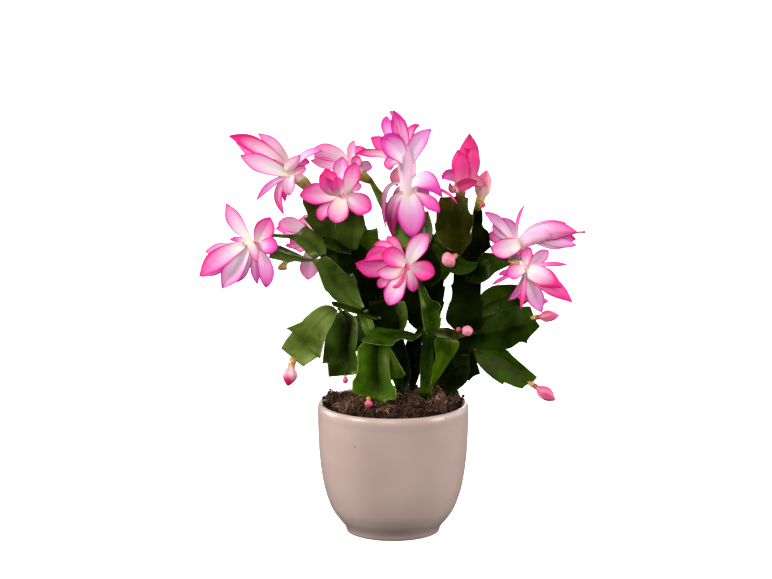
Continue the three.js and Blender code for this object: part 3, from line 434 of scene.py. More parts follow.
# ---------------------------------------------------------------- plant tables
# A petal is (from, through, to, width, turn, cup, point, kind of petal). Turn is in
# degrees from facing the front, cup bends its edges to its face, and point is 0 for a
# round end and 1 for a sharp one. Two more numbers may follow: how wide its foot is,
# as a share of the width, and how far along it is widest.
UPPER_LEFT_PETALS = [
    ((-71, -6, 254), (-92, -13, 271), (-112.5, -16, 278.5), 11, 5, 0.35, 0.6, "hot_tip"),
    ((-72, -5, 254), (-92, -8, 267), (-108, -9, 274), 11, 0, 0.2, 0.9, "pale"),
    ((-70, -4, 255), (-80, 1, 270.5), (-93.5, 3, 281), 9, 15, 0.2, 0.7, "pale"),
    ((-71, -8, 252), (-89, -16, 258.5), (-104.5, -20, 265), 13, -10, 0.35, 0.5, "pale"),
    ((-70, -7, 251), (-83, -11, 245.5), (-94, -12, 233.2), 5, 0, 0.3, 0.4, "mauve"),
    ((-70, -6, 251), (-78.8, -9, 240), (-74.7, -9, 223.5), 5.8, 5, 0.3, 0.3, "pink"),
    ((-69, -6, 252), (-71.5, -12, 245), (-70.8, -13, 237.2), 9, 0, 0.3, 0, "salmon"),
    ((-70, -3, 251), (-74, -3, 241), (-74.2, -2, 233), 4, 20, 0.2, 0.2, "hot"),
    ((-74, -9, 254.5), (-69, -13, 259), (-63.5, -11, 265.5), 8, -10, -0.35, 0, "cream"),
    ((-69, -4, 254), (-60, -5, 265.5), (-48.3, -5, 268.3), 6, 30, 0.3, 0.3, "lilac"),
    ((-69, -3, 254), (-63, -3, 260), (-57.2, -2.5, 260), 6, 0, 0.2, 0, "magenta"),
    ((-69, -5, 252), (-64, -8, 255), (-59.3, -8, 256), 6, 0, 0.25, 0, "pink"),
]
LEFT_PETALS = [
    ((-98, -25, 206), (-106.8, -23, 218), (-114, -21, 232), 11, 10, 0.3, 0.5, "pale"),
    ((-93, -23, 203), (-88.5, -26, 213), (-83.8, -27, 222), 14, -10, 0.35, 0.1, "pink"),
    ((-92, -25, 202), (-84.5, -31, 202), (-78.6, -33, 201.5), 12, 10, 0.25, 0, "magenta"),
    ((-93, -25, 200), (-87.5, -30, 187), (-87, -31, 173), 11, 10, 0.3, 0, "mauve"),
    ((-94, -23, 200), (-94.5, -23, 188), (-93, -22, 175), 7, 10, 0.2, 0.5, "mauve"),
    ((-99, -29, 206), (-95, -34, 199), (-93.3, -35, 190.5), 6.5, 15, -0.3, 0, "cream"),
    ((-99, -29, 202), (-108, -34, 187), (-117, -37, 172), 14.5, 0, 0.5, 0.7, "blush"),
    ((-98, -26, 201), (-102.5, -27, 187), (-111, -28, 175.5), 11, -20, 0.2, 0.6, "blush"),
    ((-101, -29, 203), (-117.5, -37, 193.5), (-132.4, -40, 180.3), 14, -12, 0.4, 0.8, "pink"),
    ((-102, -27, 202), (-118, -31, 190), (-131, -34, 180.5), 11, 0, 0.2, 0.7, "pale"),
    ((-102, -26, 203), (-116, -23, 200), (-129, -21, 198), 9, 0, 0.2, 0.4, "salmon"),
    ((-101, -24, 205), (-106, -21, 206.5), (-112, -20, 206.5), 4, 0, 0.2, 0.4, "magenta"),
]
FRONT_LEFT_PETALS = [
    ((-36, -12, 237), (-50, -15, 238.5), (-64, -17, 237), 15, 0, 0.2, 0.1, "pink"),
    ((-36, -10, 235), (-47, -13, 227), (-48, -15, 219.7), 9, 0, 0.25, 0, "pink"),
    ((-35, -12, 236), (-37.5, -18, 227), (-40.3, -20, 218.2), 15, 0, 0.3, 0, "cream"),
    ((-33, -10, 237), (-24, -13, 232), (-14.8, -12, 227), 15.5, 0, 0.2, 0, "pink"),
    ((-33, -12, 238), (-29, -12, 249.5), (-25.5, -9, 260.4), 11.5, -10, 0.35, 0.2, "pink"),
    ((-35, -11, 240), (-36, -7, 253), (-34.5, -4, 264.4), 11, 0, 0.25, 0.1, "lilac"),
    ((-36, -16, 238), (-37, -23, 243), (-39, -27, 250), 10, -15, -0.45, 0.1, "hot"),
    ((-38, -16, 238), (-44.5, -22, 242.5), (-49.7, -26, 252), 10, 15, -0.4, 0.2, "hot"),
    ((-38, -15, 240), (-43, -21, 247), (-46, -25, 256), 12, 0, -0.2, 0.2, "hot"),
    ((-33, -8, 239), (-26, -6, 243), (-21.5, -4, 243.5), 6, 0, 0.2, 0, "pink"),
]
BEHIND_LEFT_PETALS = [
    ((-30, 5, 260), (-43, 4, 267), (-57, 3, 267.5), 12, -5, 0.35, 0.2, "salmon"),
    ((-31, 4, 258), (-44, 2, 259.5), (-57, 1, 262), 8, 0, 0.3, 0.4, "salmon"),
    ((-33, 7, 261), (-43, 9, 263), (-55, 10, 264.5), 8, 0, 0.2, 0.3, "salmon"),
    ((-27, 5, 258), (-28.5, 3, 268), (-26.7, 2, 276), 6.5, 10, 0.3, 0.2, "salmon"),
    ((-26, 6, 258), (-26.5, 7, 267), (-18.5, 7, 270.3), 7, 20, 0.35, 0.2, "pink"),
    ((-26, 3, 256), (-25, 0, 261), (-22.5, -1, 264.5), 8, 0, 0.25, 0, "pink"),
    ((-24, 7, 257), (-20, 9, 258), (-14.4, 11, 256.5), 8.2, 0, 0.2, 0, "lilac"),
    ((-26, 9, 257), (-32, 16, 261), (-38, 22, 265), 10, 180, 0.3, 0.2, "salmon"),
    ((-26, 8, 254), (-28, 17, 250), (-33, 25, 245), 11, 180, 0.3, 0.1, "salmon"),
]
TOP_PETALS = [
    ((10.6, -6, 237.5), (12.4, -9.5, 224), (12.5, -8, 208.4), 19.5, 0, 0.22, 0, "mauve", 0.45, 0.5),
    ((8.5, -5, 238.5), (0, -8, 230), (-0.1, -8, 207.4), 10, 5, 0.3, 0.5, "wine"),
    ((7, -2, 246), (-5.5, -3, 240), (-4.9, -3, 214), 4.6, 35, 0.3, 0.2, "pale"),
    ((12, -4, 247), (22.5, -13, 248.5), (34, -14, 235.5), 14, 15, -0.35, 0.4, "orchid"),
    ((14, -5, 238), (24, -8, 233), (32, -12, 225), 9.5, 10, 0.3, 0.4, "magenta"),
    ((13.5, -2, 243), (33, -10, 241), (44, -12, 231), 2.4, 0, 0, 0.3, "hot"),
    ((8, 0, 262), (-2.5, 2, 282), (-4.2, 3, 293), 9, 15, 0.2, 0.4, "orchid"),
    ((8.5, -2, 262), (5, -4, 281), (0, -5, 297), 11.5, -8, 0.2, 0.5, "orchid"),
    ((8, -6, 261), (0, -15, 271), (-9, -19, 276), 17, -10, 0.3, 0, "orchid"),
    ((6, -3, 263), (-6, -4, 271), (-15.5, -6, 278), 11, -20, 0.2, 0.3, "fuchsia"),
    ((6, -6, 263), (-12, -9, 266.7), (-26, -8, 266.2), 6, 5, 0.3, 0.4, "hot_tip"),
    ((6, -6, 263), (-1.5, -11, 260.5), (-1, -12, 255), 9, 0, 0.3, 0.1, "pink"),
    ((8, 0, 258), (2.2, 2, 252), (3, 3, 243.5), 8.5, 0, 0.2, 0.5, "dusky"),
    ((11, -4, 256), (15.8, -6, 271.5), (26.5, -5, 284), 12, 10, 0.25, 0.5, "lilac"),
    ((10, -1, 264), (11, 3, 280), (18.5, 6, 286.7), 6, 20, 0.3, 0, "hot_tip"),
    ((11, 2, 243), (18, 14, 240), (22, 22, 230), 14, 180, 0.25, 0.1, "mauve"),
    ((9, 2, 244), (6, 12, 238), (4, 19, 228), 12, 180, 0.25, 0.1, "mauve"),
    ((9, 1, 262), (12, 14, 276), (14, 22, 282), 13, 180, 0.3, 0.3, "lilac"),
]
UPPER_RIGHT_PETALS = [
    ((49, -3, 249), (52, -4, 266), (52, -5, 281), 14, 0, -0.4, 0.7, "rose", 0.8, 0.5),
    ((50, -3, 247), (55, -6, 259), (57, -5, 271), 9.5, -15, -0.35, 0.5, "rose", 0.8, 0.5),
    ((46, -4, 246), (44.2, -7, 258), (44.6, -6, 269.8), 10, 15, -0.35, 0.4, "rose", 0.8, 0.5),
    ((51, -6, 246), (54.5, -11, 259), (54.5, -9, 271.5), 11, -8, -0.4, 0.5, "rose", 0.8, 0.5),
    ((47.5, -8, 244), (46.6, -13, 256), (47.4, -11, 267), 12, 5, -0.45, 0.3, "rose", 0.8, 0.5),
    ((49, -2, 250), (52.5, 2, 264), (53, 3, 275), 12, 180, -0.35, 0.5, "rose", 0.8, 0.5),
    ((45, -5, 245.5), (39.5, -9, 251.5), (33.2, -10, 248.8), 8.5, 10, 0.3, 0.2, "magenta"),
    ((48, -9, 243.5), (56, -14, 246.5), (63.3, -13, 244), 7, 10, 0.3, 0.2, "dusky"),
    ((43, -11, 242), (50, -16, 245), (57.5, -16, 247), 8, 0, 0.35, 0.2, "crimson", 0.6, 0.5),
    ((45, -4, 246), (41, -4, 241.5), (38.8, -4, 246.5), 5.5, 0, -0.3, 0.1, "dusky"),
    ((48, -1, 246), (54, 8, 250), (60, 14, 250), 9, 180, 0.3, 0.1, "rose"),
]
RIGHT_PETALS = [
    ((87, 1, 204), (77, -6, 200.5), (67, -5, 200), 14, 10, 0.2, 0, "pale", 0.5, 0.55),
    ((83, 9, 204), (73, 14, 208), (65.2, 16, 208.5), 9, 0, 0.2, 0, "pink"),
    ((83, 8, 205), (74, 5, 217), (62.8, -1, 225.8), 8, -10, 0.35, 0.2, "lilac"),
    ((84, 9, 206), (81, 12, 213.5), (75, 14, 222), 10.5, 0, 0.2, 0.1, "lilac"),
    ((82, 10, 206), (74, 13, 211), (69, 14, 217.5), 7, 0, 0.2, 0.3, "lilac"),
    ((86.5, 3, 205), (85.6, -1, 218), (90.7, -3, 231.5), 4, 50, 0.2, 0.3, "magenta"),
    ((84, 5, 201), (87, 3, 197), (88.2, 2, 197.5), 4, 0, 0.2, 0.2, "magenta"),
    ((88, 5, 208), (103, 4, 216), (119.6, 3, 218), 8, 15, -0.3, 0.2, "lilac"),
    ((96, 2, 209), (110.5, -3, 212.5), (127.3, -4, 211.2), 13.5, -8, -0.4, 0.45, "pink"),
    ((97, 5, 207), (108, 4, 203), (119.6, 2, 201.3), 6, 0, -0.3, 0.2, "lilac"),
    ((100, 4, 208), (113, 2, 205), (126.5, 0, 202.4), 8, 0, -0.3, 0.1, "lilac"),
    ((102, 5, 209), (115, 6, 208), (126.4, 6, 206.8), 8, 0, 0, 0.1, "pink"),
    ((96, 6, 210), (108, 13, 214), (120, 16, 210), 12, 180, -0.3, 0.3, "lilac"),
    ((84, 11, 204), (78, 20, 206), (72, 27, 214), 12, 180, 0.3, 0.1, "lilac"),
    ((85, 11, 202), (86, 19, 196), (84, 27, 188), 12, 180, 0.3, 0.1, "lilac"),
]
LOWER_RIGHT_PETALS = [
    ((91, -7, 188), (92, -9, 195), (94.5, -10, 201), 8.5, 10, 0.3, 0, "pink"),
    ((93, -6, 188), (100.5, -7, 194), (107, -7, 198.7), 9, -10, 0.3, 0, "lilac"),
    ((94, -8, 188), (107, -11, 189.2), (120, -12, 189), 3.6, 0, 0, 0.2, "hot"),
    ((92, -10, 185), (103, -19, 180.5), (115.5, -22, 173), 13.5, 0, -0.35, 0.25, "hot_tip"),
    ((93, -9, 183), (109.5, -12, 174), (123.7, -14, 162), 12.5, 10, -0.4, 0.6, "hot"),
    ((92, -8, 184), (96.5, -9, 169), (102.7, -10, 155.2), 12, 10, 0.3, 0.4, "lilac"),
    ((91, -10, 184.5), (89.6, -14, 171), (88, -15, 157.8), 4, 0, 0.2, 0.2, "hot"),
    ((90.5, -9, 184.5), (87.5, -12, 173.5), (79, -14, 163.7), 7, 30, 0.4, 0.4, "mauve"),
    ((91, -10, 186), (83.5, -14, 184), (77.6, -15, 183), 11, -5, 0.3, 0, "pink"),
    ((90, -8, 185), (76, -12, 179.5), (67.6, -12, 174.2), 3, 0, 0, 0.4, "magenta"),
    ((90, -8, 186), (80, -11, 184), (72, -12, 182), 4.5, 0, 0, 0.4, "magenta"),
    ((92, -6, 185), (95, 3, 181), (99, 8, 172), 10, 180, 0.3, 0.1, "pink"),
    ((92, -5, 187), (97, 4, 191), (104, 9, 195), 9, 180, 0.3, 0.1, "pink"),
]
FRONT_PETALS = [
    ((10.5, -16, 189), (15.8, -18, 200.4), (24, -18, 210.2), 13.5, 0, 0.25, 0, "pale"),
    ((12, -16, 188), (20, -18, 185.2), (28.4, -18, 182.2), 13.8, 0, 0.2, 0, "hot"),
    ((11, -17, 186), (13, -20, 177), (13.6, -20, 169.8), 8, 0, 0.25, 0, "pink"),
    ((8, -19, 185), (1.6, -25, 172), (-3.3, -26, 160.5), 13.8, 0, 0.3, 0.2, "pale"),
    ((5, -19, 186), (-5.5, -20, 178), (-7.5, -20, 172.5), 8.5, 0, 0.2, 0, "pink"),
    ((8, -21, 187), (-1, -28, 183.5), (-11.3, -30, 184.5), 10.5, 0, 0.3, 0, "cream"),
    ((2, -22, 189), (-12, -26, 187), (-25.7, -29, 190), 14, 5, 0.25, 0.4, "fuchsia"),
    ((8, -21, 189), (0, -30, 194), (-8, -33, 196), 14, -10, 0.3, 0, "hot"),
    ((2, -22, 191), (-8, -28, 197), (-19.5, -31, 191.2), 10, 0, 0.3, 0.4, "hot"),
    ((4, -18, 192), (-4, -20, 201.5), (-13, -21, 202.3), 7, 0, 0.3, 0.1, "pink"),
    ((8, -16, 191), (1, -14, 202), (-4.5, -13, 208.6), 9, 0, 0.25, 0.3, "pink"),
]
REAR_LEFT_PETALS = [
    ((-57, 18, 207), (-68.5, 15, 216.3), (-79.8, 13, 216.8), 11, 0, 0.2, 0, "salmon"),
    ((-57, 18, 205), (-67, 17, 202.5), (-75, 16, 202.7), 4.5, 0, 0.2, 0.2, "pink"),
    ((-56, 18, 204), (-58, 16, 189), (-59, 14, 177.8), 13, 0, 0.2, 0.3, "salmon"),
    ((-55.5, 17, 207), (-57.5, 13, 212.5), (-61.3, 12, 218), 4, 70, 0, 0.3, "magenta"),
    ((-55, 19, 207), (-50, 27, 216), (-45, 33, 223), 12, 180, 0.3, 0, "pink"),
    ((-60, 26, 207), (-70, 36, 214), (-82, 42, 214), 13, 180, -0.3, 0.4, "pink"),
    ((-60, 26, 206), (-66, 40, 204), (-70, 52, 200), 13, 180, -0.3, 0.4, "pink"),
    ((-60, 26, 209), (-60, 38, 218), (-62, 48, 224), 12, 180, -0.3, 0.4, "pink"),
]
REAR_RIGHT_PETALS = [
    ((46, 44, 217), (46, 48, 226), (45, 53, 232), 10, 180, 0.3, 0.1, "pink"),
    ((45, 44, 216), (41, 47, 223), (39, 51, 229), 11, 180, 0.3, 0.1, "pink"),
    ((48, 45, 213), (59, 50, 208), (67, 54, 202), 11, 180, 0.3, 0, "pink"),
    ((45, 45, 214), (38, 52, 211), (34, 57, 205), 12, 180, 0.3, 0, "pink"),
    ((47, 46, 214), (47, 57, 207), (49, 62, 194), 13, 180, 0.3, 0, "pink"),
    ((46, 50, 221), (53, 61, 213), (61, 68, 205), 12, 180, -0.3, 0.4, "pink"),
    ((46, 50, 221), (38, 60, 226), (32, 67, 226), 12, 180, -0.3, 0.4, "pink"),
    ((46, 51, 221), (46, 66, 228), (47, 78, 228), 13, 180, -0.3, 0.4, "pink"),
]
REAR_LOW_PETALS = [
    ((-37, 51, 200), (-43, 52, 210), (-49, 56, 216), 12, 180, 0.3, 0, "pink"),
    ((-35, 51, 199), (-32, 50, 210), (-33, 54, 220), 12, 180, 0.3, 0, "pink"),
    ((-37, 53, 197), (-43, 58, 188), (-51, 61, 182), 12, 180, 0.3, 0, "pink"),
    ((-36, 54, 198), (-40, 63, 188), (-44, 66, 177), 12, 180, 0.3, 0, "pink"),
    ((-33, 58, 202), (-28, 68, 204), (-25, 76, 201), 12, 180, -0.3, 0.4, "pink"),
    ((-33, 58, 202), (-38, 72, 208), (-42, 82, 208), 13, 180, -0.3, 0.4, "pink"),
    ((-33, 58, 201), (-24, 72, 198), (-18, 82, 192), 12, 180, -0.3, 0.4, "pink"),
]

# A bloom has the stem that it grows on, its stalk (from, to, radius), the knots (place,
# radius) of its throat and of its pistil, and its petals. Tube and ovary name the
# material of its throat and of its stalk where it isn't "cream" and "ovary".
BLOOMS = {
    "bloom_upper_left": {"stem": "stem_rear_left", "stalk": ((-56.5, 6, 241.6), (-64.5, 0, 248.8), 4.4),
        "throat": [((-75, -8, 257), 2.2), ((-82, -12, 262), 0.8)], "petals": UPPER_LEFT_PETALS},
    "bloom_left": {"stem": "stem_left", "stalk": ((-83, -19, 197.5), (-88.5, -21, 200), 3),
        "throat": [((-94, -24, 202.5), 3), ((-98, -26, 204), 2)], "petals": LEFT_PETALS},
    "bloom_front_left": {"stem": "stem_rear_left", "stalk": ((-27, 2, 226), (-31.5, -5, 233), 3.2),
        "throat": [((-34, -10, 236), 3.2), ((-37, -14, 240), 1.6)], "petals": FRONT_LEFT_PETALS},
    "bloom_behind_left": {"stem": "stem_main", "stalk": ((-15.5, 6, 247), (-22.5, 6, 252), 3.8),
        "throat": [((-25.5, 6, 254.5), 3.8), ((-30, 7, 259), 3.6), ((-38, 7, 262), 1.6)],
        "petals": BEHIND_LEFT_PETALS},
    "bloom_top": {"stem": "stem_main", "stalk": ((12, 7, 230), (11, 3, 235.5), 3.4),
        "throat": [((10.8, -1, 238.5), 5.8), ((10, -2, 250), 5.6), ((9, -3, 262), 6.2), ((8, -5, 272), 3)],
        "pistil": [((8.5, -3.5, 266), 0.8), ((1.5, -6.5, 288), 0.7), ((-1.6, -7, 295.4), 1.3)],
        "tube": "tube", "petals": TOP_PETALS},
    "bloom_upper_right": {"stem": "stem_main", "stalk": ((45, -5, 233.5), (46.5, -5, 240.5), 3.6),
        "throat": [((47, -5, 247), 5), ((49, -5, 257), 5.2), ((51, -5, 270), 2.4)], "tube": "rose",
        "ovary": "ovary_shaded", "petals": UPPER_RIGHT_PETALS},
    "bloom_right": {"stem": "stem_right", "stalk": ((77, -0.5, 190), (79.5, 5, 197.5), 3),
        "throat": [((84, 8, 201.5), 3.8), ((91, 5, 205.5), 4.6), ((99, 2, 209.5), 5.8), ((108, 0, 211), 4)],
        "pistil": [((106, 0, 212), 0.7), ((120, -2, 211.4), 0.7), ((131.3, -2, 211.8), 0.9)], "tube": "tube",
        "petals": RIGHT_PETALS},
    "bloom_lower_right": {"stem": "stem_right", "stalk": ((79, -2, 191.5), (87, -5, 189.3), 2.3),
        "throat": [((91, -8, 186.8), 2.8), ((95, -9, 184.5), 1.6)], "petals": LOWER_RIGHT_PETALS},
    "bloom_front": {"stem": "stem_main", "stalk": ((18, -8, 178), (13.8, -11, 184), 2.4),
        "throat": [((10.5, -16, 187.5), 2.8), ((7, -19, 188.5), 1.6)],
        "pistil": [((10, -20, 189), 0.9), ((7, -28, 181), 1.6), ((3.4, -30.5, 174.6), 2),
                   ((0.6, -30.5, 173.6), 1.5)],
        "petals": FRONT_PETALS},
    "bloom_rear_left": {"stem": "stem_rear_left", "stalk": ((-45, 8, 208), (-51.5, 13, 206), 2.8),
        "throat": [((-55, 17, 205), 4.4), ((-59, 23, 206), 5), ((-63, 31, 208), 3)],
        "petals": REAR_LEFT_PETALS},
    "bloom_rear_right": {"stem": "stem_rear", "stalk": ((41.5, 38, 203), (44, 41, 209), 3),
        "throat": [((46.5, 43.5, 213.5), 4.6), ((47, 48, 219), 5), ((46, 55, 226), 2.6)],
        "pistil": [((46, 53, 225), 0.7), ((46, 68, 240), 0.7), ((46, 76, 245), 1.1)],
        "petals": REAR_RIGHT_PETALS},
    "bloom_rear_low": {"stem": "stem_rear_low", "stalk": ((-35, 42, 187), (-36, 47, 193), 3),
        "throat": [((-36, 50, 197.5), 4.6), ((-34, 56, 201), 4.8), ((-31, 64, 204), 2.6)],
        "pistil": [((-32, 62, 203), 0.7), ((-27, 77, 208), 0.7), ((-24, 86, 209), 1.1)],
        "petals": REAR_LOW_PETALS},
}


# A bud is (stem, foot of its neck, top of its neck, radius there, tip, width, how far
# along it is widest, kind of bud).
BUD_ROWS = {
    "bud_round_middle": ("stem_main", (43.5, -6, 196), (42, -11.5, 194.5), 1.8, (34, -17, 190), 11.2, 0.5,
        "bud_round"),
    "bud_tall_right": ("stem_right", (57.9, 4, 227), (59.8, 2, 234), 3.2, (64.4, 0, 255.3), 11.4, 0.42,
        "bud_pale"),
    "bud_small_right": ("stem_right", (58.4, 3.6, 228), (60.2, 0, 229.6), 1.1, (63, -4, 231.8), 4, 0.5,
        "bud_tiny"),
    "bud_right": ("stem_right", (95, -2, 151), (99, -3, 151.8), 1.9, (114.9, -5, 153.2), 8.2, 0.45,
        "bud_salmon"),
    "bud_behind_right": ("stem_right", (87, 10.5, 166), (91.5, 6, 164), 1.7, (107.8, 3, 163), 6.2, 0.5,
        "bud_salmon"),
    "bud_low_right": ("stem_right", (93, -4, 106), (97.5, -6, 103.6), 1.9, (112.2, -10, 93), 9.4, 0.5,
        "bud_salmon"),
    "bud_tiny_middle": ("stem_main", (44, -6, 142.5), (45, -10, 143), 1.1, (45.4, -14, 143.4), 3.6, 0.5,
        "bud_tiny"),
    "bud_round_low": ("stem_main", (51, -5.5, 141), (51, -10, 142), 1.5, (51.3, -17.5, 142.6), 7.4, 0.5,
        "bud_round"),
    "bud_low_left": ("stem_left", (-68, -15, 124), (-69.5, -16, 120), 2.7, (-72.6, -18, 103.3), 10, 0.5,
        "bud_two_tone"),
    "bud_small_left": ("stem_left", (-33, -17, 112), (-33, -17.4, 110.4), 1.3, (-33, -18, 105), 4.3, 0.55,
        "bud_tiny"),
    "bud_small_front": ("stem_main", (-17, -28.8, 96.5), (-17, -29.6, 94.6), 1.4, (-17, -31.5, 88.6), 5.4,
        0.5, "bud_tiny"),
    "bud_orange_left": ("stem_left", (-71, -17.5, 194.5), (-74, -19.5, 188.5), 1.3, (-79.3, -22, 186), 6, 0,
        "bud_orange"),
    "bud_rear_right": ("stem_rear", (64, 49, 124.5), (68.5, 52, 122.5), 1.9, (80, 58, 117), 8, 0.45,
        "bud_salmon"),
    "bud_rear_middle": ("stem_rear_low", (0, 42, 189), (1, 47, 194), 3, (4, 56, 204), 9, 0.45, "bud_salmon"),
    "bud_rear_left": ("stem_rear_low", (-44, 36, 141), (-48, 38, 142), 1.9, (-59, 41, 143), 8, 0.45,
        "bud_salmon"),
}

# A grown leaf has a middle line, a width and teeth that stand out by tooth. An edged
# leaf has its two edges instead, as points (across, height); a third number, 1, makes a
# point a sharp tooth. Turn is in degrees from facing the front, and fold bends a leaf's
# edges to its face. Rib is where the midrib is, from -1 at the left edge to 1 at the
# right one, roll turns the edges back, and joint puts a corky spot at the leaf's foot.
Grown = namedtuple("Grown", "start through end width turn fold tooth tone")
Edged = namedtuple("Edged", "start through end_depth turn fold tone left right rib roll joint",
                   defaults=(0.0, 0.0, True))

STEM_MAIN = [
    Edged((22, -4, 96.5), (22, -4, 118), -4, 0, 0.1, "mid", [(18.5, 96.5), (18.6, 110), (19.2, 125),
          (21, 145)], [(26.5, 96.5), (28.2, 110), (28, 125), (28.5, 145)]),
    Edged((25, -4, 142), (27, -6, 160), -8, -15, 0.25, "bright", [(22, 141), (20, 152), (19, 163), (17, 173),
          (15, 181)], [(31, 141), (33, 147), (31.5, 155), (33.2, 159.5, 1), (30.5, 162.5), (26, 164),
          (23, 170), (20, 177), (19.5, 181)], roll=-0.25),
    Edged((19.5, -7.6, 174), (22, -4, 190), -2, 12, 0.15, "dark", [(12, 175), (9, 186), (11, 198), (17, 207)],
          [(26.5, 173.5), (30.7, 176.3), (33.3, 180.7), (33.7, 186.8), (31.5, 193), (28, 199.2),
          (24.5, 206)]),
    Edged((24, -2, 203), (39, -5, 197), -5, 15, 0.15, "deep", [(27, 206), (29, 208.4), (36.7, 200.9),
          (42.8, 197.4), (46.2, 194.3), (51.4, 191.3), (58.3, 190.4, 1)], [(25.9, 203), (31.5, 193),
          (34, 186.8), (39.3, 183.3), (46.2, 181.6), (53.1, 183.3), (57.4, 186.8)], rib=-0.35),
    Edged((45, -5, 195), (42, -7, 215), -5, -5, 0.12, "olive", [(44, 196), (36, 202.5), (31.5, 206.2),
          (29, 212.4), (28.3, 217, 1), (29.4, 220), (29.8, 227.4), (32, 236)], [(47, 196), (50.5, 201),
          (53.1, 204.5), (54.4, 209.6, 1), (52.9, 211.2), (54.8, 217.7), (55.2, 223.7, 1), (52.7, 225.2),
          (51.4, 230), (51.9, 235.3, 1), (48, 237)], rib=0.1),
    Edged((22, -2, 203), (22.6, 2, 214), 4, 52, 0.1, "grey", [(20, 203), (20.5, 214), (20.5, 226)],
          [(25.5, 204), (27.2, 212.4), (26.4, 218.6), (24, 226.5)]),
    Grown((22.5, -2.5, 200), (11, 3, 212), (12, 7.5, 234), 20, 10, 0.1, 1.2, "bright"),
    Edged((12, 5, 209), (-2, 8, 225), 6, 48, 0.1, "pale", [(8, 212), (-4.7, 223), (-9.9, 231.8),
          (-12.5, 237.9), (-17.2, 248)], [(14, 214), (-2, 229), (-4.9, 234), (-5.5, 237.5), (-8.1, 240.2, 1),
          (-10.7, 243.2), (-15.5, 251)], joint=False),
    Edged((25, -5, 103), (32, -11, 120), -12, -25, -0.25, "bright", [(26, 104), (27.5, 115.6), (29.5, 123.6),
          (28.5, 134), (29.5, 138)], [(27.5, 104), (31.4, 108.5), (37.4, 117.6), (44.3, 128.7), (45.5, 134),
          (43, 136.5)]),
    Edged((24, -4, 140.5), (0, -12, 138), -18, -62, 0.1, "mid", [(19.6, 139.7), (15.7, 136.7), (12.7, 134.9),
          (6.8, 136.7), (1.9, 135.2), (-1.1, 132.2), (-10, 132.7), (-13.9, 133.2), (-20.8, 134.7)],
          [(22.1, 142.8), (17.6, 139.6), (8.8, 142.3), (-1.1, 143.3), (-8, 144.3), (-11.9, 144.3),
          (-15.9, 140.2), (-21.8, 136.7, 1)]),
    Edged((-12, -15.5, 137), (-12.5, -24, 117), -28, 0, 0.3, "channel", [(-8, 134), (-4.5, 131.5),
          (-2.8, 125.6), (-2.6, 113.6), (-1.1, 106.5), (2.2, 101.5, 1), (1.7, 94.4), (-3.1, 94.8),
          (-6, 91.4, 1)], [(-16, 136), (-20, 134.5), (-23.8, 130.7), (-24.8, 125.6), (-24.3, 119.6),
          (-25.5, 111.5), (-28.1, 107.5, 1), (-27.9, 101.5), (-25.7, 98.5), (-20.8, 97)], rib=-0.15),
    Edged((-4, -13, 137.5), (1, -16, 122), -17, -10, 0.1, "bright", [(-3, 132), (-1, 128.5), (1.9, 123.6),
          (5.3, 117.6), (8.5, 111.5, 1), (5.5, 108.7)], [(-6, 133), (-6, 125), (-5, 115), (-3, 107.5)]),
    Edged((25, -4, 143), (42, -5, 142), -4, 52, 0.1, "olive", [(26, 143), (31.4, 143.8), (37.4, 144.3),
          (43.3, 142.8), (55.1, 142.8)], [(26, 141), (34.4, 139.4), (41.3, 136.2), (47.2, 137.7),
          (53.1, 139.2), (57.1, 140.7)]),
]
